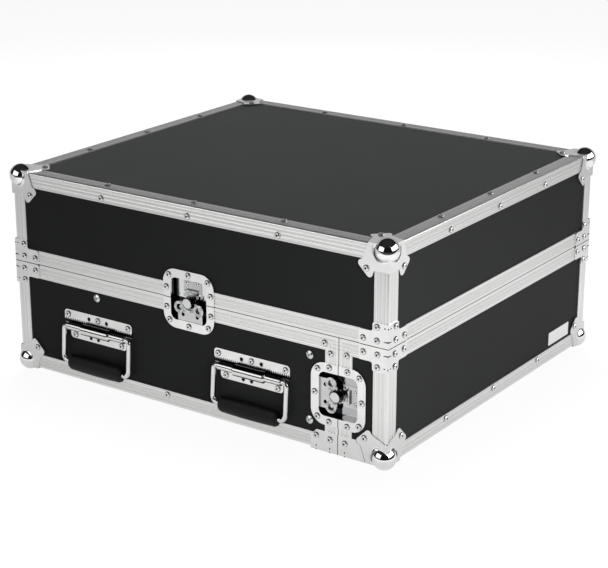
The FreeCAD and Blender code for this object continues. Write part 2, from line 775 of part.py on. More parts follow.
def latch_keeper():
    """Keeper plate with a raised lip that the claw passes over."""
    end = dish_opening_height / 2 - keeper_end_gap
    flat = dish_floor + keeper_sheet
    lip = flat + keeper_lip
    lip_end = keeper_start + keeper_lip_length
    section = [(keeper_start, dish_floor), (end, dish_floor), (end, flat),
               (lip_end + keeper_ramp, flat), (lip_end, lip), (keeper_start, lip)]
    wire = Part.makePolygon([V(-keeper_half_width, y, z) for y, z in section + section[:1]])
    return Part.Face(wire).extrude(X_AXIS * keeper_half_width * 2)


def build_latches():
    works_half, keeper_half = dish_halves()
    cover_plate = latch_plate()
    keeper = latch_keeper()
    moving = {"knob": latch_knob(), "wing": latch_wing(), "claw": latch_claw()}
    base_dishes, plates = [], []
    for lock, frame in (("lid", lid_latch_frame), ("cover", cover_latch_frame)):
        base_dishes.append(placed(works_half, *frame))
        plates.append(placed(cover_plate, *frame))
        keep(lock + "_latch_dishes", both_sides([placed(keeper_half, *frame)]))
        keep(lock + "_latch_keepers", both_sides([placed(keeper, *frame)]))
        for piece, shape in moving.items():
            on_left = placed(shape, *frame)
            keep("%s_latch_%s_left" % (lock, piece), on_left)
            keep("%s_latch_%s_right" % (lock, piece), mirrored(on_left))
    keep("base_latch_dishes", both_sides(base_dishes))
    keep("latch_cover_plates", both_sides(plates))


def handle_plate():
    """Pressed handle plate: two flanges and a rolled hinge tube with a fuller spring housing."""
    low = -edging_wall
    high = low + handle_sheet
    top_half = handle_top_width / 2
    bottom_half = handle_bottom_width / 2
    tube = hinge_tube_radius
    upper = [(-top_half, 0), (top_half, 0), (top_half, handle_top_reach),
             (-top_half, handle_top_reach)]
    lower = [(-bottom_half, -handle_bottom_reach), (bottom_half, -handle_bottom_reach),
             (bottom_half, 0), (-bottom_half, 0)]
    r = handle_plate_round
    flat = plate(upper, [r, r, r, r], low, high).fuse(plate(lower, [r, r, 0, 0], low, high))
    housing_half = spring_housing_length / 2
    half = hinge_tube_length / 2
    profile = [(0, -half), (tube, -half), (tube, -housing_half - tube / 2),
               (spring_housing_radius, -housing_half), (spring_housing_radius, housing_half),
               (tube, housing_half + tube / 2), (tube, half), (0, half)]
    barrel = placed(turned(profile), V(0, 0, hinge_out), Y_AXIS, Z_AXIS, X_AXIS)
    body = flat.fuse(barrel)
    body = body.cut(block((-top_half, top_half), (-top_half, top_half), (-top_half, low)))
    bore_length = bail_pin_depth + bail_side_gap + cut_overrun
    for side in (-1, 1):
        start = V(side * (half + cut_overrun), 0, hinge_out)
        bore = Part.makeCylinder(hinge_wire_radius + running_clearance, bore_length, start,
                                 X_AXIS * -side)
        body = body.cut(bore)
    # Clear the flange round the bail's bends where the wire passes beside the tube
    relief = hinge_wire_radius + face_clearance * 2
    for side in (-1, 1):
        cut_start = V(side * half, 0, hinge_out)
        cutter = Part.makeCylinder(relief + handle_sheet, handle_top_width, cut_start, X_AXIS * side)
        body = body.cut(cutter)
    return body.removeSplitter()


def handle_bail():
    """Round wire bail, its ends turned in along the hinge line."""
    half = bail_width / 2
    tip = hinge_tube_length / 2 - bail_pin_depth
    corners = [V(-tip, 0, 0), V(-half, 0, 0), V(-half, -bail_drop, 0), V(half, -bail_drop, 0),
               V(half, 0, 0), V(tip, 0, 0)]
    bends = [0, bail_end_bend_radius, bail_bend_radius, bail_bend_radius, bail_end_bend_radius, 0]
    edges = []
    previous = corners[0]
    for index in range(1, len(corners) - 1):
        corner = corners[index]
        before = (corners[index - 1] - corner).normalize()
        after = (corners[index + 1] - corner).normalize()
        radius = bends[index]
        enter = corner + before * radius
        leave = corner + after * radius
        centre = corner + (before + after) * radius
        middle = centre + (corner - centre).normalize() * radius
        edges.append(Part.makeLine(previous, enter))
        edges.append(Part.Arc(enter, middle, leave).toShape())
        previous = leave
    edges.append(Part.makeLine(previous, corners[-1]))
    spine = Part.Wire(edges)
    circle = Part.Wire(Part.makeCircle(hinge_wire_radius, corners[0], -X_AXIS))
    wire = spine.makePipeShell([circle], True, False)
    return lean_out(wire)


def grip_section(share, place):
    """Oval section of the grip, flatter outwards than it is high, at a share of its size."""
    centre = V(0, 0, place)
    oval = Part.Ellipse(centre + X_AXIS * grip_half_height * share,
                        centre + Y_AXIS * grip_half_thickness * share, centre)
    return Part.Wire(oval.toShape())


def handle_grip():
    """Moulded grip: a crowned oval sleeve with drawn-in ends on the lower run of the bail."""
    half = grip_length / 2
    shoulder = half - grip_end_length
    crown = [grip_section(grip_shoulder_share, -shoulder), grip_section(1, 0),
             grip_section(grip_shoulder_share, shoulder)]
    sleeve = Part.makeLoft(crown, True, False)
    for side in (-1, 1):
        taper = [grip_section(grip_shoulder_share, side * shoulder),
                 grip_section(grip_end_share, side * half)]
        sleeve = sleeve.fuse(Part.makeLoft(taper, True, True))
    sleeve = sleeve.cut(disc(hinge_wire_radius, 0, 0, -half - cut_overrun, half + cut_overrun))
    return lean_out(placed(sleeve, V(0, -bail_drop, 0), Y_AXIS, Z_AXIS, X_AXIS))


def lean_out(shape):
    """Turn a bail piece from flat to its resting lean, then set it out on the hinge line."""
    leaning = shape.copy()
    leaning.rotate(ORIGIN, X_AXIS, -bail_lean)
    leaning.translate(V(0, 0, hinge_out))
    return leaning


def build_handles():
    pieces = {"plate": handle_plate(), "bail": handle_bail(), "grip": handle_grip()}
    for place, end in zip(handle_places, ("front", "rear")):
        origin = V(left, place, bottom + handle_hinge_height)
        for piece, shape in pieces.items():
            on_left = placed(shape, origin, *side_face)
            keep("handle_%s_%s_left" % (piece, end), on_left)
            keep("handle_%s_%s_right" % (piece, end), mirrored(on_left))


def rail(length, shares):
    """Rack rail along Z with as many full rack units of holes as its length holds."""
    section = [(0, 0), (rail_face_width, 0), (rail_face_width, rail_sheet), (rail_sheet, rail_sheet),
               (rail_sheet, rail_side_width), (0, rail_side_width)]
    radii = [rail_sheet, 0, 0, 0, 0, 0]
    body = plate(section, radii, 0, length)
    hole_at = -left - wall - rack_hole_spacing / 2
    drills = []
    for unit in range(int(length / rack_unit_height)):
        for share in shares:
            height = rack_unit_height * (unit + share)
            drills.append(Part.makeCylinder(rack_hole_radius, rail_sheet + cut_overrun * 2,
                                            V(hole_at, -cut_overrun, height), Y_AXIS))
    return body.cut(drills)


def build_rack_rails():
    inside = left + wall
    standing = rail(front_rail_high - front_rail_low, front_hole_shares)
    standing.translate(V(inside, front_rail_face, front_rail_low))
    lying = placed(rail(top_rail_back - top_rail_front, top_hole_shares),
                   V(inside, top_rail_front, top_rail_face), X_AXIS, -Z_AXIS, Y_AXIS)
    cutters = []
    for place, height in rail_bolt_places:
        cutters.append(Part.makeCylinder(bolt_shank_radius, rail_sheet + cut_overrun * 2,
                                         V(inside - cut_overrun, place, height), X_AXIS))
    screw_at = V(inside - cut_overrun, top_rail_front + inner_screw_inset,
                 top_rail_face - rail_side_width / 2)
    cutters.append(Part.makeCylinder(inner_screw_radius, rail_sheet + cut_overrun * 2, screw_at, X_AXIS))
    for cutter in cutters:
        standing = standing.cut(cutter)
        lying = lying.cut(cutter)
    keep("front_rack_rails", both_sides([standing]))
    keep("top_rack_rails", both_sides([lying]))


def rail_bolt():
    """Bolt along Z through a wall: domed head outside, nut inside the rail."""
    head_base = -edging_wall
    nut_base = -wall - rail_sheet
    tip = nut_base - bolt_nut_height
    profile = [(0, tip), (bolt_shank_radius, tip), (bolt_nut_radius, tip), (bolt_nut_radius, nut_base),
               (bolt_shank_radius, nut_base), (bolt_shank_radius, head_base),
               (bolt_head_radius, head_base), (bolt_head_radius, head_base + bolt_head_height / 2),
               (bolt_head_radius / 2, head_base + bolt_head_height), (0, head_base + bolt_head_height)]
    return turned(profile)


def build_rail_bolts():
    bolts = []
    for place, height in rail_bolt_places:
        bolts.append(placed(rail_bolt(), V(left, place, height), *side_face))
    head = -wall - rail_sheet
    profile = [(0, head - inner_screw_head_height), (inner_screw_head_radius / 2,
               head - inner_screw_head_height), (inner_screw_head_radius, head),
               (inner_screw_radius, head), (0, head + inner_screw_depth)]
    screw_at = V(left, top_rail_front + inner_screw_inset, top_rail_face - rail_side_width / 2)
    screw = placed(turned(profile), screw_at, *side_face)
    keep("rail_bolts", both_sides(bolts + [screw]))


def inner_screw_holes():
    """Pilot holes for the short screws that hold the front ends of the top rails."""
    start = V(left + wall - inner_screw_depth, top_rail_front + inner_screw_inset,
              top_rail_face - rail_side_width / 2)
    hole = Part.makeCylinder(inner_screw_radius, inner_screw_depth + cut_overrun, start, X_AXIS)
    nodes["base_side_left"] = nodes["base_side_left"].cut(hole)
    nodes["base_side_right"] = nodes["base_side_right"].cut(mirrored(hole))


def build_feet():
    profile = [(foot_recess_radius, 0), (foot_radius - foot_taper, 0), (foot_radius, foot_height),
               (0, foot_height), (0, foot_recess_depth), (foot_recess_radius, foot_recess_depth)]
    level = edging_wall
    seated = [(radius, height + level * (height >= foot_height)) for radius, height in profile]
    feet = []
    for y in (joint + foot_inset, back - foot_inset):
        foot = turned(seated)
        foot.translate(V(left + foot_inset, y, 0))
        feet.append(foot)
    keep("rubber_feet", both_sides(feet))


def build_foam():
    side = wall + foam_side_gap
    lid_pad = block((left + side, -left - side), (front + side, back - side),
                    (top - wall - lid_foam_thickness, top - wall))
    keep("lid_foam", lid_pad)
    cover_pad = block((left + side, -left - side), (front + wall, front + wall + cover_foam_thickness),
                      (bottom + side, seam - half_seam - edging_wall - lid_foam_gap))
    keep("cover_foam", cover_pad)


build_base_panels()
build_lid_panels()
build_cover_panels()
build_edge_angles()
build_rim_channels()
build_cross_bar()
build_ball_corners()
build_brackets()
build_latches()
build_handles()
build_rack_rails()
build_rail_bolts()
inner_screw_holes()
build_feet()
build_foam()

os.makedirs("parts", exist_ok=True)
for name, shape in nodes.items():
    shape.exportStep("parts/%s.step" % name)
    print("%-28s %7d solids %10.0f mm3" % (name, len(shape.Solids), shape.Volume))
print(len(nodes), "nodes")
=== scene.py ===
import math

import bpy
from mathutils import Matrix, Vector


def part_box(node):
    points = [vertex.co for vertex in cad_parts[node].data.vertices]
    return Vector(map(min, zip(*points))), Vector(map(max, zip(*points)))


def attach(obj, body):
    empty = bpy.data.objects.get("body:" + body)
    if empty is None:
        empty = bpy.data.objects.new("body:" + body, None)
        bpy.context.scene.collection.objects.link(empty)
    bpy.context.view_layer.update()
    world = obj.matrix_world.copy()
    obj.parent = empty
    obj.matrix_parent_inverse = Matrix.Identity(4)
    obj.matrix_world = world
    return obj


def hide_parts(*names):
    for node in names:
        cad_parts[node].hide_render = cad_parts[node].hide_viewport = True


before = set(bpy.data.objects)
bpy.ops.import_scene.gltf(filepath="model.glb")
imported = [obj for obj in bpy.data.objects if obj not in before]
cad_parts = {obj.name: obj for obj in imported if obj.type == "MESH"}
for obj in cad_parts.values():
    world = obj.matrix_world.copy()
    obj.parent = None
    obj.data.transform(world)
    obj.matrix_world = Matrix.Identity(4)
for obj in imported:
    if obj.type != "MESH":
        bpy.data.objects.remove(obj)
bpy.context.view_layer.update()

mm = 0.001

# Wall panels: plywood faced on both sides with a black phenolic laminate, sawn to size and
# slid into the aluminium edging. The film is pressed against a finely pebbled plate, so it is
# matt with a broad soft sheen and a very slight cloudiness.
panel_nodes = ["base_floor", "base_side_left", "base_side_right", "base_back", "lid_top",
               "lid_side_panels", "lid_end_panels", "cover_floor", "cover_front",
               "cover_side_panels"]
# The real pebbles are about 0.3 mm wide, too fine for the picture, so they are drawn at 1.1 mm
pebble_width, pebble_depth = 1.1 * mm, 0.06 * mm
cloud_width = 90 * mm
noise_span = (0.3, 0.7)  # nearly all of a noise's values lie between these two


def linear(colour):
    """An sRGB hex colour as linear red, green, blue and alpha."""
    channels = [int(colour[i:i + 2], 16) / 255 for i in (0, 2, 4)]
    return [c / 12.92 if c <= 0.04045 else ((c + 0.055) / 1.055) ** 2.4 for c in channels] + [1]


def join(tree, value, socket):
    """Give a socket a plain value, another socket's result, or the first result of a node."""
    if isinstance(value, bpy.types.Node):
        value = next(result for result in value.outputs if result.enabled)
    if isinstance(value, bpy.types.NodeSocket):
        tree.links.new(value, socket)
    else:
        socket.default_value = value


def add(tree, kind, inputs=(), **settings):
    """One node with its settings. Its inputs go by name or number, or in the node's order."""
    node = tree.nodes.new(kind)
    for name, value in settings.items():
        setattr(node, name, value)
    for socket, value in inputs.items() if isinstance(inputs, dict) else enumerate(inputs):
        join(tree, value, node.inputs[socket])
    return node


def finish_material(name, **sockets):
    """A new material with plain values on its shader, its node tree and object coordinates."""
    material = bpy.data.materials.new(name)
    material.use_nodes = True
    tree = material.node_tree
    tree.nodes.clear()
    shader = add(tree, "ShaderNodeBsdfPrincipled")
    add(tree, "ShaderNodeOutputMaterial", {"Surface": shader})
    for socket, value in sockets.items():
        shader.inputs[socket.replace("_", " ")].default_value = value
    return material, tree, add(tree, "ShaderNodeTexCoord").outputs["Object"]


def vary(tree, tint=None, gloss=None, relief=None, span=noise_span, **joined):
    """Vary a finish by patterns: tint between two colours, gloss between two roughnesses, and
    relief with its strength and depth. Other sockets of the shader are joined by name."""
    if tint:
        pattern, *ends = tint
        dark, light = [linear(end) if isinstance(end, str) else end for end in ends]
        joined["Base Color"] = add(tree, "ShaderNodeMix", {"Factor": pattern, 6: dark, 7: light},
                                   data_type="RGBA")
    if gloss:
        pattern, low, high = gloss
        joined["Roughness"] = add(tree, "ShaderNodeMapRange", (pattern, *span, low, high))
    if relief:
        pattern, strength, depth = relief
        joined["Normal"] = add(tree, "ShaderNodeBump", {"Height": pattern, "Strength": strength,
                                                        "Distance": depth})
    for socket, value in joined.items():
        join(tree, value, tree.nodes["Principled BSDF"].inputs[socket])


def dress(material, nodes):
    """Give the frame's own nodes this material."""
    for name in nodes:
        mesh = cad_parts[name].data
        mesh.materials.clear()
        mesh.materials.append(material)


laminate, tree, place = finish_material("phenolic_laminate", IOR=1.5, Specular_IOR_Level=0.09)
pebbles = add(tree, "ShaderNodeTexNoise", {"Vector": place, "Scale": 1 / pebble_width,
                                           "Detail": 2, "Roughness": 0.55})
clouds = add(tree, "ShaderNodeTexNoise", {"Vector": place, "Scale": 1 / cloud_width,
                                          "Detail": 4, "Roughness": 0.6})
vary(tree, tint=(clouds, "303131", "363737"), gloss=(pebbles, 0.46, 0.58),
     relief=(pebbles, 0.35, pebble_depth))
dress(laminate, panel_nodes)

# Edging: extruded aluminium angles and rim channels, sawn to a mitre and anodised silver.
# Drawing through the die leaves fine ridges along each length, which break the reflections
# into long bright and grey lines, over a satin etched surface.
case_low, case_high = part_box("lid_edge_angles")
floor_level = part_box("base_edge_angles")[0].z
seam_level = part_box("lid_rim_channels")[0].z
joint_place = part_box("cover_rim_channels")[1].y
ridge_spacing, ridge_depth = 4.6 * mm, 0.05 * mm
streak_width, streak_span, streak_height = 2.2 * mm, (0.32, 0.68), 0.6
etching_width = 1.4 * mm
joint_shadow, joint_grey = (0.25 * mm, 0.8 * mm), "3a3a3b"


def separate(tree):
    """Object coordinates as three numbers, one for each axis."""
    place = add(tree, "ShaderNodeTexCoord").outputs["Object"]
    return add(tree, "ShaderNodeSeparateXYZ", (place,)).outputs


def nearest_plane(tree, axes, *planes):
    """Distance to the nearest of some planes, each given as its axis and its level."""
    nearest = None
    for axis, level in planes:
        offset = add(tree, "ShaderNodeMath", (axes[axis], level), operation="SUBTRACT")
        gap = add(tree, "ShaderNodeMath", (offset,), operation="ABSOLUTE")
        nearest = gap if nearest is None else add(tree, "ShaderNodeMath", (nearest, gap),
                                                  operation="MINIMUM")
    return nearest


def tint_between(tree, distance, near, far, colour):
    """Give the finish this colour up to a distance, with its own colour from further on."""
    own = add(tree, "ShaderNodeMapRange", (distance, near, far, 0, 1))
    before = tree.nodes["Principled BSDF"].inputs["Base Color"].links[0].from_socket
    vary(tree, tint=(own, colour, before))


def edging_material(name, *levels):
    """Anodised aluminium whose ridges follow each length, by its distance from the case's edges.
    The levels are those of the edges along each of the three axes."""
    material, tree, place = finish_material(name, Metallic=0.9)
    axes = separate(tree)
    gaps = [nearest_plane(tree, axes, *[(axis, level) for level in levels[axis]])
            for axis in range(3)]
    # The middle one of the three distances is the one across the flange
    less = add(tree, "ShaderNodeMath", gaps[:2], operation="MINIMUM")
    more = add(tree, "ShaderNodeMath", gaps[:2], operation="MAXIMUM")
    capped = add(tree, "ShaderNodeMath", (more, gaps[2]), operation="MINIMUM")
    across = add(tree, "ShaderNodeMath", (less, capped), operation="MAXIMUM")
    turns = add(tree, "ShaderNodeMath", (across, 2 * math.pi / ridge_spacing),
                operation="MULTIPLY")
    ridges = add(tree, "ShaderNodeMath", (turns,), operation="SINE")
    streaks = add(tree, "ShaderNodeTexNoise", {"W": across, "Scale": 1 / streak_width,
                                               "Detail": 3, "Roughness": 0.7},
                  noise_dimensions="1D")
    etching = add(tree, "ShaderNodeTexNoise", {"Vector": place, "Scale": 1 / etching_width,
                                               "Detail": 3})
    drawn = add(tree, "ShaderNodeMapRange", (streaks, *streak_span, 0, 1))
    lines = add(tree, "ShaderNodeMath", (streaks, streak_height, ridges),
                operation="MULTIPLY_ADD")
    vary(tree, tint=(drawn, "cfcfce", "fafaf9"), gloss=(etching, 0.27, 0.37),
         relief=(lines, 0.3, ridge_depth))
    joints = [(2, seam_level)] + [(1, level) for level in levels[1] if level == joint_place]
    tint_between(tree, nearest_plane(tree, axes, *joints), *joint_shadow, joint_grey)
    return material


case_sides = (case_low.x, case_high.x)
lid_edging = edging_material("anodised_aluminium_of_the_lid", case_sides,
                             (case_low.y, case_high.y), (seam_level, case_high.z))
base_edging = edging_material("anodised_aluminium_of_the_base", case_sides,
                              (case_low.y, joint_place, case_high.y), (floor_level, seam_level))
dress(lid_edging, ["lid_edge_angles", "lid_rim_channels"])
dress(base_edging, ["base_edge_angles", "base_rim_channels", "front_opening_channels",
                    "front_cross_bar", "cover_edge_angles", "cover_rim_channels"])

# Ball corners: three-armed plates drawn from steel sheet round a ball, then chrome plated.
# The ball is buffed to a mirror, while the flat plates keep the softer shine of the sheet.
# A pressed collar runs round the foot of the ball on each upright face.
ball_radius, ball_inset = 15.5 * mm, 8 * mm
buffed_edge = (ball_radius * 1.01, ball_radius * 1.12)
plate_sheet, scuff_width, scuff_depth = 1.2 * mm, 6 * mm, 0.05 * mm
collar_outer, collar_inner, collar_height = 17.2 * mm, 12.9 * mm, 2.0 * mm
collar_sink = 0.05 * mm
collar_start, collar_end, collar_steps, collar_rings = -22, 86, 26, 7
bodies = ("lid", "base", "front_cover")

ball_places = []
for body, level, up, ends in (("lid", case_high.z, -1, (1, -1)), ("base", floor_level, 1, (-1,)),
                              ("front_cover", floor_level, 1, (1,))):
    for across in (1, -1):
        for along in ends:
            corner = Vector((case_low.x if across > 0 else case_high.x,
                             case_low.y if along > 0 else case_high.y, level))
            ball_places.append((body, corner, (across, along, up)))

chrome, tree, place = finish_material("chrome_plated_ball_corner")
axes = separate(tree)
centres = [nearest_plane(tree, axes, (axis, low + ball_inset), (axis, high - ball_inset))
           for axis, (low, high) in enumerate((case_sides, (case_low.y, case_high.y),
                                               (floor_level, case_high.z)))]
offset = add(tree, "ShaderNodeCombineXYZ", centres)
reach = add(tree, "ShaderNodeVectorMath", (offset,), operation="LENGTH")
scuffs = add(tree, "ShaderNodeTexNoise", {"Vector": place, "Scale": 1 / scuff_width, "Detail": 4})
buffed = add(tree, "ShaderNodeMapRange", (reach, *buffed_edge, 0.03, 0.15))
gloss = add(tree, "ShaderNodeMath", (scuffs, 0.05, buffed), operation="MULTIPLY_ADD")
hazed = add(tree, "ShaderNodeMapRange", (reach, *buffed_edge, 1.0, 0.78))
vary(tree, tint=(scuffs, "e4e4e4", "f4f4f3"), relief=(scuffs, 0.12, scuff_depth),
     Roughness=gloss, Metallic=hazed)
dress(chrome, ["lid_ball_corners", "base_ball_corners", "cover_ball_corners"])


def shape(points, faces, smooth=True):
    """A mesh from its points and faces."""
    mesh = bpy.data.meshes.new("shape")
    mesh.from_pydata(points, [], faces)
    mesh.polygons.foreach_set("use_smooth", [smooth] * len(faces))
    return mesh


def new_piece(name, mesh, body, slot, *materials):
    """A finished piece from a mesh, riding on a body."""
    mesh.name = name
    for material in materials:
        mesh.materials.append(material)
    piece = bpy.data.objects.new(name, mesh)
    bpy.context.scene.collection.objects.link(piece)
    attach(piece, body)
    return piece


collars = {body: ([], []) for body in bodies}
for body, corner, signs in ball_places:
    points, faces = collars[body]
    inward = [Vector([sign * (axis == i) for i in range(3)]) for axis, sign in enumerate(signs)]
    for axis, first, second in ((0, inward[1], inward[2]), (1, inward[0], inward[2])):
        outward = -inward[axis]
        middle = corner + (first + second) * ball_inset + outward * plate_sheet
        flip = first.cross(second).dot(outward) < 0
        start = len(points)
        for step in range(collar_steps + 1):
            turn = math.radians(collar_start + (collar_end - collar_start) * step / collar_steps)
            ray = first * math.cos(turn) + second * math.sin(turn)
            height = collar_height * math.sqrt(abs(math.sin(math.pi * step / collar_steps)))
            for ring in range(collar_rings):
                share = ring / (collar_rings - 1)
                radius = collar_outer + (collar_inner - collar_outer) * share
                rise = height * (1 - math.cos(share * math.pi * 0.5)) ** 1.2
                points.append(middle + ray * radius
                              + outward * (rise - collar_sink * (ring == 0)))
        for step in range(collar_steps):
            for ring in range(collar_rings - 1):
                a = start + step * collar_rings + ring
                quad = [a, a + collar_rings, a + collar_rings + 1, a + 1]
                faces.append(quad if flip else quad[::-1])
for body, (points, faces) in collars.items():
    new_piece(body + "_ball_collars", shape(points, faces), body, "polished_chrome", chrome)

# Brackets and joint plates: steel sheet, blanked, bent round the edges and zinc plated bright.
# The plating lies smooth over the rolled sheet, with the faint waves that pressing leaves.
scratch_width, wave_depth = 0.45 * mm, 0.3 * mm


def plated_material(name, dark, light, rough_low, rough_high, waves, wave_width=14 * mm,
                    jointed=False):
    """Bright plating on pressed sheet: soft waves, faint rub marks and a little unevenness."""
    material, tree, place = finish_material(name, Metallic=1.0)
    ripple = add(tree, "ShaderNodeTexNoise", {"Vector": place, "Scale": 1 / wave_width,
                                              "Detail": 2, "Roughness": 0.4})
    rubs = add(tree, "ShaderNodeTexNoise", {"Vector": place, "Scale": 1 / scratch_width,
                                            "Detail": 3, "Roughness": 0.65})
    vary(tree, tint=(ripple, dark, light), gloss=(rubs, rough_low, rough_high),
         relief=(ripple, waves, wave_depth))
    if jointed:
        gap = nearest_plane(tree, separate(tree), (2, seam_level), (1, joint_place))
        tint_between(tree, gap, *joint_shadow, joint_grey)
    return material


zinc_plate = plated_material("bright_zinc_plated_sheet", "dadada", "ececeb", 0.13, 0.22, 0.25,
                             jointed=True)
dress(zinc_plate, ["lid_brackets", "base_brackets", "cover_brackets"])

# Dents: short grooves struck across each bend of the sheet, which stiffen it. They stand beside
# every row of rivets, three short ones in the outer rows and one long and arched in the others.
# Each is drawn as a thin patch over the bend, coloured dark with painted shade for its groove.
dent_width, dent_height, dent_arch, dent_steps = 1.7 * mm, 0.3 * mm, 0.5 * mm, 8
bend_half = 0.2 * mm
short_dents = ((-6.6 * mm, -4.0 * mm), (-1.3 * mm, 1.3 * mm), (4.0 * mm, 6.6 * mm))
long_dent = ((-7.2 * mm, 7.2 * mm),)
# Rows of rivets: heights from the seam, and beside the cover's joint a place and a level
outer_row, upper_row, lower_row = 25.5 * mm, 8.3 * mm, -9.3 * mm
joint_rows = (("base", 101.9 * mm, 18.0 * mm), ("base", 81.5 * mm, 16.5 * mm),
              ("front_cover", 59.6 * mm, 16.5 * mm))
# The dents' dark colour is painted shade
dent_shade = plated_material("struck_stiffening_dent", "1c1c1d", "4a4b4c", 0.2, 0.34, 0.25)
dents = {body: ([], []) for body in bodies}


def strike_dent(body, corner, first, second, start, end, arch=0):
    """A lens-shaped dent over a bend, from start to end along the two faces that meet there."""
    points, faces = dents[body]
    base_index = len(points)
    across = first.cross(second).normalized()
    for step in range(dent_steps + 1):
        share = step / dent_steps
        along = start + (end - start) * share
        fullness = abs(math.sin(math.pi * share)) ** 0.35
        run = first * -along if along < 0 else second * along
        lift = -second if along < 0 else -first
        lift = lift if abs(along) > bend_half else (-first - second) * 0.9
        middle = corner + run + Vector((0, 0, arch * math.sin(math.pi * share)))
        for side, height in ((-1, 0), (-0.4, 1), (0.4, 1), (1, 0)):
            points.append(middle + across * side * dent_width / 2 * max(fullness, 0.15)
                          + lift * dent_height * height * fullness)
    for step in range(dent_steps):
        for side in range(3):
            a = base_index + step * 4 + side
            quad = [a, a + 4, a + 5, a + 1]
            turned = (points[quad[1]] - points[quad[0]]).cross(points[quad[3]] - points[quad[0]])
            faces.append(quad if turned.dot(-first - second) > 0 else quad[::-1])


for rise, struck, arch in ((outer_row, short_dents, 0), (upper_row, long_dent, dent_arch),
                           (lower_row, long_dent, dent_arch), (-outer_row, short_dents, 0)):
    for x, inward_x in ((case_low.x, 1), (case_high.x, -1)):
        for y, inward_y in ((case_low.y, 1), (case_high.y, -1)):
            body = "lid" if rise > 0 else "front_cover" if inward_y > 0 else "base"
            corner = Vector((x - inward_x * plate_sheet, y - inward_y * plate_sheet,
                             seam_level + rise))
            for start, end in struck:
                strike_dent(body, corner, Vector((0, inward_y, 0)), Vector((inward_x, 0, 0)),
                            start, end, arch)
for body, along, level in joint_rows:
    for x, inward_x in ((case_low.x, 1), (case_high.x, -1)):
        corner = Vector((x - inward_x * plate_sheet, case_low.y + along,
                         floor_level - plate_sheet))
        for start, end in short_dents:
            strike_dent(body, corner, Vector((0, 0, 1)), Vector((inward_x, 0, 0)), start, end)
for body, (points, faces) in dents.items():
    new_piece(body + "_bracket_dents", shape(points, faces), body, "chromed_steel", dent_shade)

# Latch dishes, cover plates and keepers: deep-drawn steel with a nickel and chrome finish. Inside
# the dish each body's half is painted in its own light or shade: dark painted shade on the base,
# grey on the cover, and on the lid a pale floor with painted shade on its walls. Painted shade
# also lies in the gap round each knob and along the knob's edge. Knob, wing and claw are turned or
# cast, and chromed darker and smoother than the pressed dish.
flange_level, works_level = case_high.x - 0.1 * mm, case_high.x - 2.2 * mm
dish_low, dish_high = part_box("lid_latch_dishes")
dish_walls = ((1, (dish_low.y + dish_high.y) / 2, 26.6 * mm), (2, seam_level, 24.0 * mm))
wall_fade, knob_gap, knob_rim = 0.8 * mm, 1.0 * mm, 1.3 * mm
# Colours of the painted shade: inside the dish, in the gap round each knob, and along the knob's
# edge
dish_shade_black, knob_gap_shade, knob_edge_shade = "1e1f20", "161617", "2a2a2b"
locks, sides = ("lid", "cover"), ("left", "right")


def axle_distance(tree, axes, centre):
    """Distance from the line straight across the case through a point."""
    gaps = [nearest_plane(tree, axes, (axis, centre[axis])) for axis in (1, 2)]
    offset = add(tree, "ShaderNodeCombineXYZ", gaps)
    return add(tree, "ShaderNodeVectorMath", (offset,), operation="LENGTH")


for body, inside in (("base", dish_shade_black), ("lid", "dedfdf"), ("cover", "b0b1b2")):
    dish = plated_material("chrome_plated_%s_dish" % body, "dadada", "ececeb", 0.1, 0.2, 0.3,
                           jointed=True)
    tree = dish.node_tree
    axes = separate(tree)
    reach = add(tree, "ShaderNodeMath", (axes[0],), operation="ABSOLUTE")
    # Past the flange, into the dish, the colour turns to this half's painted light or shade
    tint_between(tree, reach, works_level, flange_level, inside)
    # The lid's half of the dish keeps a pale floor, and only its walls get the painted shade
    for axis, middle, wall_start in dish_walls if body == "lid" else ():
        across = nearest_plane(tree, axes, (axis, middle))
        floor_part = add(tree, "ShaderNodeMapRange", (across, wall_start, wall_start + wall_fade,
                                                      flange_level, 0))
        wall_part = add(tree, "ShaderNodeMath", (reach, floor_part), operation="MAXIMUM")
        tint_between(tree, wall_part, works_level, flange_level, dish_shade_black)
    dress(dish, [body + "_latch_dishes"])
keeper_nickel = plated_material("nickel_plated_keeper", "9c9c9c", "d2d2d1", 0.1, 0.2, 0.3)
dress(keeper_nickel, ["lid_latch_keepers", "cover_latch_keepers"])
plate_nickel = plated_material("nickel_plated_works_plate", "bababa", "d2d2d1", 0.2, 0.3, 0.2)
dress(plate_nickel, ["latch_cover_plates"])
for lock in locks:
    low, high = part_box(lock + "_latch_knob_left")
    middle, radius = (low + high) / 2, (high.y - low.y) / 2
    # Painted shade in the gap round the knob, on the cover plate
    tree = plate_nickel.node_tree
    around = axle_distance(tree, separate(tree), middle)
    tint_between(tree, around, radius + knob_gap * 0.5, radius + knob_gap, knob_gap_shade)
    knob_chrome = plated_material("chrome_plated_%s_knob" % lock, "c2c3c4", "dcdddd",
                                  0.12, 0.2, 0.2)
    tree = knob_chrome.node_tree
    around = axle_distance(tree, separate(tree), middle)
    # Painted shade along the knob's edge
    from_rim = add(tree, "ShaderNodeMath", (radius, around), operation="SUBTRACT")
    tint_between(tree, from_rim, knob_rim * 0.6, knob_rim, knob_edge_shade)
    dress(knob_chrome, ["%s_latch_knob_%s" % (lock, side) for side in sides])
cast_chrome = plated_material("chrome_plated_casting", "2c2d2e", "f2f3f4", 0.04, 0.1, 0.6,
                              wave_width=5 * mm)
dress(cast_chrome, ["%s_latch_%s_%s" % (lock, piece, side) for lock in locks
                    for piece in ("wing", "claw") for side in sides])
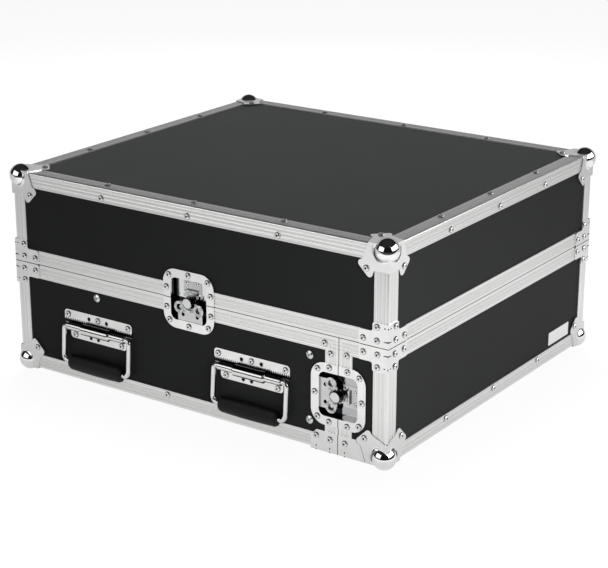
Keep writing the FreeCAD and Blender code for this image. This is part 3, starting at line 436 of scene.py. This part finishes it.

# Spring handles: a folded and rolled steel plate, zinc plated, that carries a wire bail with a
# grip of PVC moulded over the wire. The torsion spring in the rolled tube is painted on the plate
# as a near-black coiled band, for the dark spring and the shade round it, and a finer line of
# painted shade lies in the crease at the sheet's rolled end.
hinge_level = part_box("handle_bail_front_left")[1].z - 3.5 * mm
spring_gap, sheet_end, gap_fade = (3.8 * mm, 9.5 * mm), (0.5 * mm, 2.1 * mm), 0.6 * mm
coil_spacing, coil_depth = 3.3 * mm, 1.4 * mm
patch_width, grain_depth = 25 * mm, 0.05 * mm
handle_zinc = plated_material("zinc_plated_handle_plate", "d2d2d1", "e4e4e3", 0.16, 0.26, 0.3)
tree = handle_zinc.node_tree
axes = separate(tree)
above = add(tree, "ShaderNodeMath", (axes[2], hinge_level), operation="SUBTRACT")
turns = add(tree, "ShaderNodeMath", (axes[1], 2 * math.pi / coil_spacing), operation="MULTIPLY")
coils = add(tree, "ShaderNodeMath", (turns,), operation="SINE")
# The gap's upper edge follows the coils, and the line of the sheet's end is straight
coiled = add(tree, "ShaderNodeMath", (coils, coil_depth, above), operation="MULTIPLY_ADD")
# Both bands are painted near black: the spring with its shade, and the shade in the crease
for upper, (bottom, top) in ((coiled, spring_gap), (above, sheet_end)):
    over = add(tree, "ShaderNodeMath", (upper, top), operation="SUBTRACT")
    under = add(tree, "ShaderNodeMath", (bottom, above), operation="SUBTRACT")
    outside = add(tree, "ShaderNodeMath", (over, under), operation="MAXIMUM")
    tint_between(tree, outside, -gap_fade, 0, "151516")
wire_zinc = plated_material("zinc_plated_wire", "c6c6c6", "e4e4e3", 0.14, 0.24, 0.08)


def moulded_material(name, dark, light, rough_low, rough_high, grain, strength):
    """Moulded black rubber or PVC with a fine grain."""
    material, tree, place = finish_material(name, IOR=1.5, Specular_IOR_Level=0.2)
    fine = add(tree, "ShaderNodeTexNoise", {"Vector": place, "Scale": 1 / grain, "Detail": 2})
    broad = add(tree, "ShaderNodeTexNoise", {"Vector": place, "Scale": 1 / patch_width,
                                             "Detail": 3})
    vary(tree, tint=(broad, dark, light), gloss=(broad, rough_low, rough_high),
         relief=(fine, strength, grain_depth))
    return material


grip_pvc = moulded_material("moulded_pvc_grip", "08090a", "0d0e0e", 0.42, 0.52, 0.7 * mm, 0.3)
for piece, material in (("plate", handle_zinc), ("bail", wire_zinc), ("grip", grip_pvc)):
    dress(material, ["handle_%s_%s_%s" % (piece, end, side) for end in ("front", "rear")
                     for side in sides])

# Rivets: steel pop rivets with a low domed head, zinc plated. The broken stem leaves a small
# pit in the middle of each head, whose dark colour is painted shade, and the head's edge is
# rolled down on the sheet, with a ring of painted shade along it. Every sheet piece and every
# length of edging is held on by them, right through the panel.
rivet_radius, rivet_height = 4.4 * mm, 2.2 * mm
rivet_segments, rivet_rings = 12, 5
head_profile = ((0.0, 0.78), (0.2, 0.97), (0.4, 1.0), (0.6, 0.97), (0.8, 0.83), (1.0, 0.0))
stem_pit, edge_shade = (0.3, 0.38), (0.96, 0.84)  # shares of the head's radius
speck_width, weld_gap, rivet_lean = 1.5 * mm, 0.01 * mm, 0.05

rivet_metal, tree, place = finish_material("zinc_plated_rivet", Metallic=0.8)
span = add(tree, "ShaderNodeAttribute", attribute_name="span").outputs["Fac"]
specks = add(tree, "ShaderNodeTexNoise", {"Vector": place, "Scale": 1 / speck_width, "Detail": 2})
vary(tree, tint=(specks, "e0e0e0", "f6f6f5"), gloss=(specks, 0.14, 0.24))
# Painted shade along the head's edge, then in the stem's pit
tint_between(tree, span, *edge_shade, "8a8a8b")
tint_between(tree, span, *stem_pit, "0c0c0d")

riveting = bpy.data.node_groups.new("riveting", "GeometryNodeTree")
riveting.interface.new_socket("Places", in_out="INPUT", socket_type="NodeSocketGeometry")
for label, kind, value in (("Head Radius", "NodeSocketFloat", rivet_radius),
                           ("Head Height", "NodeSocketFloat", rivet_height),
                           ("Seed", "NodeSocketInt", 7)):
    riveting.interface.new_socket(label, in_out="INPUT", socket_type=kind).default_value = value
riveting.interface.new_socket("Metal", in_out="INPUT", socket_type="NodeSocketMaterial")
riveting.interface.new_socket("Rivets", in_out="OUTPUT", socket_type="NodeSocketGeometry")
given = add(riveting, "NodeGroupInput").outputs
flat = add(riveting, "GeometryNodeMeshGrid", (1.0, 1.0, rivet_rings + 1, rivet_segments + 1))
spot = add(riveting, "ShaderNodeSeparateXYZ", (add(riveting, "GeometryNodeInputPosition"),))
share = add(riveting, "ShaderNodeMath", (spot.outputs[0], 0.5), operation="ADD")
turn = add(riveting, "ShaderNodeMath", (spot.outputs[1], 2 * math.pi), operation="MULTIPLY")
radius = add(riveting, "ShaderNodeMath", (share, given["Head Radius"]), operation="MULTIPLY")
head = []
for direction in ("COSINE", "SINE"):
    ray = add(riveting, "ShaderNodeMath", (turn,), operation=direction)
    head.append(add(riveting, "ShaderNodeMath", (ray, radius), operation="MULTIPLY"))
# Height of the head from its middle to its edge: the pit, the crown, then the rolled edge
crown = add(riveting, "ShaderNodeFloatCurve", {"Value": share})
curve = crown.mapping.curves[0]
for index, end in enumerate((0, -1)):
    curve.points[index].location = head_profile[end]
for along, height in head_profile[1:-1]:
    curve.points.new(along, height)
for point in curve.points:
    point.handle_type = "VECTOR"
crown.mapping.update()
head.append(add(riveting, "ShaderNodeMath", (crown, given["Head Height"]), operation="MULTIPLY"))
marked = add(riveting, "GeometryNodeStoreNamedAttribute",
             {"Geometry": flat, "Name": "span", "Value": share}, data_type="FLOAT", domain="POINT")
round_head = add(riveting, "GeometryNodeSetPosition", {
    "Geometry": marked, "Position": add(riveting, "ShaderNodeCombineXYZ", head)})
welded = add(riveting, "GeometryNodeMergeByDistance", {"Geometry": round_head,
                                                       "Distance": weld_gap})
smooth = add(riveting, "GeometryNodeSetShadeSmooth", {"Geometry": welded})
facing = add(riveting, "GeometryNodeInputNamedAttribute", {"Name": "facing"},
             data_type="FLOAT_VECTOR")
upright = add(riveting, "FunctionNodeAlignRotationToVector", {"Vector": facing}, axis="Z")
spin = add(riveting, "FunctionNodeRandomValue", {
    "Min": (-rivet_lean, -rivet_lean, 0.0), "Max": (rivet_lean, rivet_lean, 6.28),
    "Seed": given["Seed"]}, data_type="FLOAT_VECTOR")
spun = add(riveting, "FunctionNodeRotateRotation",
           (upright, add(riveting, "FunctionNodeEulerToRotation", (spin,))),
           rotation_space="LOCAL")
seated = add(riveting, "GeometryNodeInstanceOnPoints", {
    "Points": given["Places"], "Instance": smooth, "Rotation": spun})
real = add(riveting, "GeometryNodeRealizeInstances", {"Geometry": seated})
plated = add(riveting, "GeometryNodeSetMaterial", {"Geometry": real, "Material": given["Metal"]})
add(riveting, "NodeGroupOutput", (plated,))


def set_heads(name, body, places, sizes):
    """Set heads on (point, way) places with the riveting tree, and keep them as a plain mesh."""
    mesh = shape([point for point, way in places], [])
    ways = mesh.attributes.new("facing", "FLOAT_VECTOR", "POINT")
    ways.data.foreach_set("vector", [value for point, way in places for value in way])
    holder = bpy.data.objects.new("rivet_places", mesh)
    bpy.context.scene.collection.objects.link(holder)
    modifier = holder.modifiers.new(riveting.name, "NODES")
    modifier.node_group = riveting
    for item in riveting.interface.items_tree:
        if item.in_out == "INPUT" and item.name in sizes:
            modifier[item.identifier] = sizes[item.name]
    made = bpy.data.meshes.new_from_object(
        holder.evaluated_get(bpy.context.evaluated_depsgraph_get()))
    holder.modifiers.remove(modifier)
    bpy.data.objects.remove(holder)
    new_piece(name, made, body, "chromed_steel")


def side_pair(along, level, lift):
    """The places on the left and right sides at a distance from the front and above the base."""
    y, z = case_low.y + along, floor_level + level
    return [((case_low.x - lift, y, z), (-1, 0, 0)), ((case_high.x + lift, y, z), (1, 0, 0))]


def end_pair(end, across, level, lift):
    """The places on the front or the back at a distance from both sides."""
    y, way = {"front": (case_low.y - lift, -1), "back": (case_high.y + lift, 1)}[end]
    return [((x, y, floor_level + level), (0, way, 0))
            for x in (case_low.x + across, case_high.x - across)]


def flat_pair(face, across, along, lift):
    """The places on the top or the underside at a distance from both sides."""
    z, way = {"top": (case_high.z + lift, 1), "under": (floor_level - lift, -1)}[face]
    return [((x, case_low.y + along, z), (0, 0, way))
            for x in (case_low.x + across, case_high.x - across)]


case_depth, case_width = case_high.y - case_low.y, case_high.x - case_low.x
lid_top, seam = case_high.z - floor_level, seam_level - floor_level
joint = joint_place - case_low.y
rivets = {"base": [], "lid": [], "front_cover": []}

# Rivets of the ball corners: one in each of the three ears
ear = 31.2 * mm
for along, low in ((ear, "front_cover"), (case_depth - ear, "base")):
    rivets["lid"] += side_pair(along, lid_top - ear, plate_sheet)
    rivets["lid"] += flat_pair("top", ear, along, plate_sheet)
    rivets[low] += side_pair(along, ear, plate_sheet)
    rivets[low] += flat_pair("under", ear, along, plate_sheet)
for end, low in (("front", "front_cover"), ("back", "base")):
    rivets["lid"] += end_pair(end, ear, lid_top - ear, plate_sheet)
    rivets[low] += end_pair(end, ear, ear, plate_sheet)

# Rivets of the brackets beside the seam, counted from the corner and from the seam
upper_spots = ((15.2 * mm, outer_row), (15.2 * mm, upper_row), (34.8 * mm, upper_row))
lower_spots = ((14.2 * mm, -outer_row), (14.2 * mm, lower_row), (34.2 * mm, lower_row))
for spots, front_body, back_body in ((upper_spots, "lid", "lid"),
                                     (lower_spots, "front_cover", "base")):
    for across, rise in spots:
        level = seam + rise
        rivets[front_body] += side_pair(across, level, plate_sheet)
        rivets[back_body] += side_pair(case_depth - across, level, plate_sheet)
        rivets[front_body] += end_pair("front", across, level, plate_sheet)
        rivets[back_body] += end_pair("back", across, level, plate_sheet)

# Rivets of the joint plates, and of the rim channels round the cover's joint
for body, along, level in joint_rows:
    rivets[body] += side_pair(along, level, plate_sheet)
for body, along, below in (("base", 90.6 * mm, 11.1 * mm), ("base", 82.0 * mm, 23.5 * mm),
                           ("front_cover", 58.5 * mm, 20.6 * mm)):
    rivets[body] += side_pair(along, seam - below, 0)
for body, along, level in joint_rows:
    rivets[body] += flat_pair("under", 16.5 * mm, along, plate_sheet)

# Rivets along the edge angles, at shares of the case's depth and width
edge_inset = 14.6 * mm
for body, level, face, shares in (("lid", lid_top - edge_inset, "top", (0.267, 0.5, 0.738)),
                                  ("base", edge_inset, "under", (0.365, 0.566, 0.768))):
    for share in shares:
        along = case_depth * share
        rivets[body] += side_pair(along, level, 0) + flat_pair(face, edge_inset, along, 0)
for share, count in ((0.266, 2), (0.5, 1)):
    across = case_width * share
    for end, low in (("front", "front_cover"), ("back", "base")):
        rivets["lid"] += end_pair(end, across, lid_top - edge_inset, 0)[:count]
        rivets[low] += end_pair(end, across, edge_inset, 0)[:count]
    for along, low in ((edge_inset, "front_cover"), (case_depth - edge_inset, "base")):
        rivets["lid"] += flat_pair("top", across, along, 0)[:count]
        rivets[low] += flat_pair("under", across, along, 0)[:count]

# Rivets round the latch dishes, and of the keepers at the bottom of them
lid_latch_along, cover_latch_level = case_depth / 2, 75.5 * mm
ring_spots = [(x * sx * mm, y * sy * mm) for x, y in ((31.5, 30.5), (35.8, 13.3))
              for sx in (-1, 1) for sy in (-1, 1)] + [(0, -34.5 * mm), (0, 34.5 * mm)]
for along, across in ring_spots:
    rivets["lid" if across > 0 else "base"] += side_pair(lid_latch_along + along, seam + across,
                                                         plate_sheet)
    rivets["front_cover" if across > 0 else "base"] += side_pair(
        joint - across, cover_latch_level + along, plate_sheet)
# The keepers' rivets are smaller and flatter, because the open claw stands over their near edge
keeper_depth, keeper_rise, keeper_reach = 7.3 * mm, 21.8 * mm, 8 * mm
keeper_sizes = {"Metal": rivet_metal, "Head Radius": 3.4 * mm, "Head Height": 1.0 * mm}
keeper_rivets = {"lid": [], "front_cover": []}
for along in (-keeper_reach, keeper_reach):
    keeper_rivets["lid"] += side_pair(lid_latch_along + along, seam + keeper_rise, -keeper_depth)
    keeper_rivets["front_cover"] += side_pair(joint - keeper_rise, cover_latch_level + along,
                                              -keeper_depth)

# Rivets of the handle plates, in a row under the upper edge and one above the lower edge
handle_lines = [((low.y + high.y) / 2 - case_low.y, high.z - floor_level, low.z - floor_level)
                for low, high in (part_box("handle_plate_%s_left" % end)
                                  for end in ("front", "rear"))]
for middle, top, bottom in handle_lines:
    for along in (-52.5 * mm, 0, 52.5 * mm):
        rivets["base"] += side_pair(middle + along, top - 6.5 * mm, 0)
    for along in (-40.5 * mm, 40.5 * mm):
        rivets["base"] += side_pair(middle + along, bottom + 5.3 * mm, 0)

for body, places in rivets.items():
    set_heads(body + "_rivets", body, places, {"Metal": rivet_metal})
for body, places in keeper_rivets.items():
    set_heads(body + "_keeper_rivets", body, places, keeper_sizes)

# Punched holes in the handle plates: round holes left open by the press tool, each with the
# rolled lip of the punch round it. Looking in, only the dark panel behind shows; it is painted on
# a flat disc, darker than the panel for the painted shade in the hole.
lip_start = (0.7, 0.78)  # shares of the lip's radius
hole_metal, tree, place = finish_material("punched_hole_lip", Metallic=1.0)
span = add(tree, "ShaderNodeAttribute", attribute_name="span").outputs["Fac"]
lip = add(tree, "ShaderNodeMapRange", (span, *lip_start, 0, 1))
vary(tree, tint=(lip, "0e0e0f", "c6c8ca"), gloss=(lip, 0.8, 0.22), span=(0, 1))
holes = []
for middle, top, bottom in handle_lines:
    for along, level in ((-15.5 * mm, top - 7.1 * mm), (15.5 * mm, top - 7.1 * mm),
                         (13 * mm, bottom + 5.2 * mm), (0, bottom + 5.2 * mm)):
        holes += side_pair(middle + along, level, 0)
set_heads("handle_plate_holes", "base", holes,
          {"Metal": hole_metal, "Head Radius": 3.3 * mm, "Head Height": 0.35 * mm})

# Rack rails and their bolts: folded steel strip with punched round holes, zinc plated, held
# through the side walls by bolts whose domed heads show outside. Each head has a cross recess,
# two narrow slots pressed in when it was formed, drawn as flat dark strips of painted shade.
rail_zinc = plated_material("zinc_plated_rack_rail", "a8abae", "c6c9cb", 0.28, 0.4, 0.15)
dress(rail_zinc, ["front_rack_rails", "top_rack_rails"])
bolt_zinc = plated_material("zinc_plated_bolt", "c4c6c8", "e2e3e5", 0.2, 0.32, 0.1)
dress(bolt_zinc, ["rail_bolts"])
recess_length, recess_width, recess_lift = 4.4 * mm, 1.0 * mm, 0.04 * mm
recess_mottle_width = 0.8 * mm
recess_black, tree, place = finish_material("shadowed_bolt_recess", Metallic=1.0, Roughness=0.5)
# A faint mottle over the painted shade of the slots
recess_mottle = add(tree, "ShaderNodeTexNoise", {"Vector": place, "Scale": 1 / recess_mottle_width})
vary(tree, tint=(recess_mottle, "3c3d3f", "5a5b5d"))
bolt_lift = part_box("rail_bolts")[1].x - case_high.x + recess_lift
points, faces = [], []
for along, level in ((113 * mm, 35 * mm), (113 * mm, 121 * mm),
                     (case_depth - 142.4 * mm, 124.5 * mm)):
    for spot, way in side_pair(along, level, bolt_lift):
        middle = Vector(spot)
        for long_way, short_way in (((0, 1, 0), (0, 0, 1)), ((0, 0, 1), (0, 1, 0))):
            start = len(points)
            a = Vector(long_way) * recess_length / 2
            b = Vector(short_way) * recess_width / 2
            points += [middle + a + b, middle - a + b, middle - a - b, middle + a - b]
            quad = list(range(start, start + 4))
            faces.append(quad if a.cross(b).dot(Vector(way)) > 0 else quad[::-1])
new_piece("bolt_recesses", shape(points, faces, smooth=False), "base", "rail_steel",
          recess_black)

# Feet: round pads of black rubber, moulded in one piece and screwed up into the floor from
# inside their recess. The mould leaves a fine grain, and the sides are dull.
foot_rubber = moulded_material("moulded_rubber_foot", "121213", "1a1a1a", 0.55, 0.7,
                               0.9 * mm, 0.5)
dress(foot_rubber, ["rubber_feet"])

# Foam linings: slabs of dark grey open-cell foam glued under the lid and inside the cover.
# The cells are about 1 mm wide, drawn at 2 mm, and the cut edges are slightly rounded over.
cell_width, cell_depth, foam_patch = 2.0 * mm, 0.5 * mm, 60 * mm
foam_round, foam_swell = 4 * mm, 1.0 * mm
foam_rows, foam_columns = 44, 30
foam_material, tree, place = finish_material("open_cell_foam", Roughness=0.95, IOR=1.4,
                                             Specular_IOR_Level=0.2, Sheen_Weight=0.15)
cells = add(tree, "ShaderNodeTexVoronoi", {"Vector": place, "Scale": 1 / cell_width})
patches = add(tree, "ShaderNodeTexNoise", {"Vector": place, "Scale": 1 / foam_patch,
                                           "Detail": 4})
vary(tree, tint=(cells, "202123", "3d3e41"), relief=(cells, 0.7, cell_depth))
tint_between(tree, patches, 1, 0, "2c2d30")


def foam_slab(name, node, body, open_way):
    """A foam slab in the node's place, glued on one side, with its open face softly swelled."""
    low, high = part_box(node)
    middle, half = (low + high) / 2, (high - low) / 2
    thin = [i for i in range(3) if open_way[i]][0]
    wide = [i for i in range(3) if i != thin]
    points, faces = [], []
    for is_open in (True, False):
        for row in range(foam_rows + 1):
            for column in range(foam_columns + 1):
                u, v = -1 + 2 * row / foam_rows, -1 + 2 * column / foam_columns
                rim = min((1 - abs(u)) * half[wide[0]], (1 - abs(v)) * half[wide[1]])
                eased = min(1, rim / foam_round)
                drop = foam_round * 0.5 * (1 - math.sqrt(1 - (1 - eased) ** 2))
                swell = foam_swell * math.sin(u * 9 + v * 4) * math.cos(v * 8 - u * 3) * 0.5
                depth = half[thin] - (drop + foam_swell * 0.5 * eased - swell * eased)
                point = Vector(middle)
                point[wide[0]] += u * half[wide[0]]
                point[wide[1]] += v * half[wide[1]]
                point[thin] += open_way[thin] * (depth if is_open else -half[thin])
                points.append(point)
    across, back = foam_columns + 1, (foam_rows + 1) * (foam_columns + 1)
    for row in range(foam_rows):
        for column in range(foam_columns):
            a = row * across + column
            quad = [a, a + across, a + across + 1, a + 1]
            faces += [quad, [back + i for i in quad[::-1]]]
    ring = (list(range(across))
            + [row * across + foam_columns for row in range(1, foam_rows + 1)]
            + [foam_rows * across + column for column in range(foam_columns - 1, -1, -1)]
            + [row * across for row in range(foam_rows - 1, 0, -1)])
    for here, there in zip(ring, ring[1:] + ring[:1]):
        faces.append([here, there, back + there, back + here])
    mesh = shape(points, faces)
    if mesh.polygons[0].normal[thin] * open_way[thin] < 0:
        mesh.flip_normals()
    piece = new_piece(name, mesh, body, "foam", foam_material)
    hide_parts(node)


foam_slab("lid_foam_slab", "lid_foam", "lid", (0, 0, -1))
foam_slab("cover_foam_slab", "cover_foam", "front_cover", (0, 1, 0))

# Badge plate: a small bare plate of aluminium, blanked with round corners, brushed along its
# length and glued on the front panel. It is left without any marking.
badge_left, badge_right, badge_low, badge_high = 423 * mm, 483 * mm, 24 * mm, 43 * mm
badge_sheet, badge_corner, badge_rim, panel_depth = 0.8 * mm, 1.5 * mm, 0.25 * mm, 1.5 * mm
brush_width, brush_stretch = 0.25 * mm, (0.03, 1.0, 1.0)
badge_metal, tree, place = finish_material("brushed_aluminium_badge", Metallic=1.0)
stretch = add(tree, "ShaderNodeMapping", {"Vector": place, "Scale": brush_stretch})
brushing = add(tree, "ShaderNodeTexNoise", {"Vector": stretch, "Scale": 1 / brush_width,
                                            "Detail": 3})
vary(tree, tint=(brushing, "e2e3e4", "fafafb"), gloss=(brushing, 0.26, 0.4))
face_level = case_low.y + panel_depth
near, far = case_low.x + (badge_left + badge_corner), case_low.x + (badge_right - badge_corner)
low, high = floor_level + (badge_low + badge_corner), floor_level + (badge_high - badge_corner)
outline = []
for x, z, start in ((far, high, 0), (near, high, 90), (near, low, 180), (far, low, 270)):
    for step in range(7):
        turn = math.radians(start + step * 15)
        outline.append((x + badge_corner * math.cos(turn), z + badge_corner * math.sin(turn)))
count = len(outline)
points = [Vector((x, y, z)) for y in (face_level, face_level - badge_sheet) for x, z in outline]
faces = [list(range(count, 2 * count))]
for index in range(count):
    after = (index + 1) % count
    faces.append([index, after, count + after, count + index])
badge = new_piece("badge_plate", shape(points, faces, smooth=False), "front_cover",
                  "aluminium_edging", badge_metal)
softened = badge.modifiers.new("softened_rim", "BEVEL")
softened.width = badge_rim
softened.segments = 2
softened.limit_method = "ANGLE"

# The stage: a plain pale floor that keeps a soft shadow, in a dim room with a paler wall behind
# the case. Two softboxes left and right of the camera show only in the metal, and three lamps
# that it doesn't mirror give the plain light, from above, behind and beside the camera.
floor_size, floor_white, floor_grey = 30.0, 0.93, "5a5a5a"
to_camera = Vector((-0.82, -0.57, 0))
# In the metal, the floor is darker towards the back and the right, on a faint card in front,
# close to the case, and beyond the hem of a dark cloth by the camera. Each fall is given as its
# axis, start, end and the loss at both.
floor_falls = ((1, 0.15, 0.6, 0, 0.4), (0, 0.45, 0.9, 0, 0.4))
card_edges = ((0, -0.15, 0.05, 0, 1), (1, -0.3, -0.5, 0, 0.06))
# The darkening close to the case is a painted shadow of the case, in what the metal sees of the
# floor
contact_reach, contact_share = 0.2, 0.72
cloth_edge, cloth_end, cloth_share = 1.0, 1.05, 0.03
half = floor_size / 2
mesh = shape([(-half, -half, 0), (half, -half, 0), (half, half, 0), (-half, half, 0)],
             [(0, 1, 2, 3)], smooth=False)
floor = bpy.data.objects.new("studio_floor", mesh)
bpy.context.scene.collection.objects.link(floor)
floor_paint = bpy.data.materials.new("pale_studio_floor")
floor_paint.use_nodes = True
tree = floor_paint.node_tree
tree.nodes.clear()
axes = separate(tree)
falls = [add(tree, "ShaderNodeMapRange", (axes[axis], *ends)) for axis, *ends in floor_falls]
card = [add(tree, "ShaderNodeMapRange", (axes[axis], *ends), interpolation_type="SMOOTHSTEP")
        for axis, *ends in card_edges]
fall = add(tree, "ShaderNodeMath", falls, operation="MAXIMUM")
card = add(tree, "ShaderNodeMath", card, operation="MULTIPLY")
fall = add(tree, "ShaderNodeMath", (fall, card), operation="MAXIMUM")
shaded = add(tree, "ShaderNodeMath", (1.0, fall), operation="SUBTRACT")
place = add(tree, "ShaderNodeTexCoord").outputs["Object"]
forward = add(tree, "ShaderNodeVectorMath", (place, to_camera), operation="DOT_PRODUCT")
cloth = add(tree, "ShaderNodeMapRange", (forward, cloth_edge, cloth_end, 1, cloth_share))
gaps = []
for axis, reach in ((0, case_width / 2), (1, case_depth / 2)):
    size = add(tree, "ShaderNodeMath", (axes[axis],), operation="ABSOLUTE")
    gaps.append(add(tree, "ShaderNodeMath", (size, reach), operation="SUBTRACT"))
gap = add(tree, "ShaderNodeMath", gaps, operation="MAXIMUM")
contact = add(tree, "ShaderNodeMapRange", (gap, 0.0, contact_reach, contact_share, 1.0),
              interpolation_type="SMOOTHSTEP")
rays = add(tree, "ShaderNodeLightPath").outputs
for factor in (contact, cloth, rays["Is Glossy Ray"]):
    shaded = add(tree, "ShaderNodeMath", (shaded, factor), operation="MULTIPLY")
seen = add(tree, "ShaderNodeMath", (rays["Is Camera Ray"], rays["Is Transmission Ray"]),
           operation="MAXIMUM")
direct = add(tree, "ShaderNodeMath", (seen, floor_white), operation="MULTIPLY")
strength = add(tree, "ShaderNodeMath", (shaded, direct), operation="MAXIMUM")
white = linear("ffffff")
glow = add(tree, "ShaderNodeEmission", (white, strength))
matt = add(tree, "ShaderNodeBsdfDiffuse", {"Color": linear(floor_grey)})
add(tree, "ShaderNodeOutputMaterial", {"Surface": add(tree, "ShaderNodeAddShader", (glow, matt))})
mesh.name = "studio_floor"
mesh.materials.append(floor_paint)

# The room: what metal sees above the floor is dark, with a paler ceiling and a grey wall behind
# the case. To the camera it is plain white, and it gives only a little soft light.
ceiling_height, wall_facing, wall_top, soft_glow = (0.5, 0.95), (0.35, 0.8), (0.36, 0.5), 0.03
world = bpy.data.worlds.new("studio")
bpy.context.scene.world = world
world.use_nodes = True
tree = world.node_tree
tree.nodes.clear()
direction = add(tree, "ShaderNodeTexCoord").outputs["Generated"]
height = add(tree, "ShaderNodeSeparateXYZ", (direction,)).outputs[2]
away = add(tree, "ShaderNodeVectorMath", (direction, -to_camera), operation="DOT_PRODUCT")
ceiling, behind, below_top = [
    add(tree, "ShaderNodeMapRange", ends, interpolation_type="SMOOTHSTEP")
    for ends in ((height, *ceiling_height, 0, 1), (away, *wall_facing, 0, 1),
                 (height, *wall_top, 1, 0))]
wall = add(tree, "ShaderNodeMath", (behind, below_top), operation="MULTIPLY")
dark = add(tree, "ShaderNodeMix", {"Factor": ceiling, 6: linear("161616"), 7: linear("2a2a2a")},
           data_type="RGBA")
room = add(tree, "ShaderNodeMix", {"Factor": wall, 6: dark, 7: linear("b0b0b0")},
           data_type="RGBA")
mirrored, soft_light, backdrop = [add(tree, "ShaderNodeBackground", look)
                                  for look in ((room, 1.0), (white, soft_glow), (white, 1.0))]
rays = add(tree, "ShaderNodeLightPath").outputs
lit = add(tree, "ShaderNodeMixShader", (rays["Is Glossy Ray"], soft_light, mirrored))
seen = add(tree, "ShaderNodeMath", (rays["Is Camera Ray"], rays["Is Transmission Ray"]),
           operation="MAXIMUM")
shown = add(tree, "ShaderNodeMixShader", (seen, lit, backdrop))
add(tree, "ShaderNodeOutputWorld", {"Surface": shown})

# Softboxes and lamps: name, azimuth and elevation in degrees, distance, width and height in
# metres, strength, and True where metal mirrors it and it lights nothing
target = Vector((0, 0, 0.14))
for name, azimuth, elevation, distance, width, tall, glow, mirrored in (
        ("softbox_left", -112, 22, 2.1, 1.9, 1.2, 1.5, True),
        ("softbox_front", 15, 26, 2.1, 2.7, 1.0, 3.9, True),
        ("lamp_above", 125, 80, 2.4, 1.6, 1.6, 6.4, False),
        ("lamp_beside_camera", -36, 8, 1.3, 0.9, 0.7, 3.6, False),
        ("lamp_behind", 125, 25, 2.2, 1.2, 1.2, 3.0, False)):
    lamp = bpy.data.lights.new(name, "AREA")
    lamp.shape = "RECTANGLE"
    lamp.size = width
    lamp.size_y = tall
    lamp.energy = glow * math.pi * width * tall
    box = bpy.data.objects.new(name, lamp)
    bpy.context.scene.collection.objects.link(box)
    box.visible_glossy = mirrored
    box.visible_diffuse = not mirrored
    turn, tilt = math.radians(azimuth), math.radians(elevation)
    way = Vector((math.sin(turn) * math.cos(tilt), -math.cos(turn) * math.cos(tilt),
                  math.sin(tilt)))
    box.matrix_world = (Matrix.Translation(target + way * distance)
                        @ way.to_track_quat("Z", "Y").to_matrix().to_4x4())

# The camera: from the left front corner, a little above the lid, with a long lens. Its place
# and lens were solved from the case's corners and rivets.
camera_turn, camera_tilt = math.radians(-55.061), math.radians(18.932)
camera_distance, camera_right, camera_up = 2453.7 * mm, -5.1 * mm, 107.2 * mm
focal_pixels, picture_width = 1721.6, 608
back = Vector((math.sin(camera_turn) * math.cos(camera_tilt),
               -math.cos(camera_turn) * math.cos(camera_tilt), math.sin(camera_tilt)))
right = Vector((math.cos(camera_turn), math.sin(camera_turn), 0))
up = back.cross(right)
lens = bpy.data.cameras.new("camera")
lens.sensor_width = 36
lens.lens = focal_pixels / picture_width * lens.sensor_width
lens.clip_start = 0.05
lens.clip_end = 100
camera = bpy.data.objects.new("camera", lens)
bpy.context.scene.collection.objects.link(camera)
place = back * camera_distance + right * camera_right + up * camera_up
turned = Matrix((right, up, back)).transposed().to_4x4()
camera.matrix_world = Matrix.Translation(place) @ turned
bpy.context.scene.camera = camera
bpy.context.scene.view_settings.view_transform = "Standard"
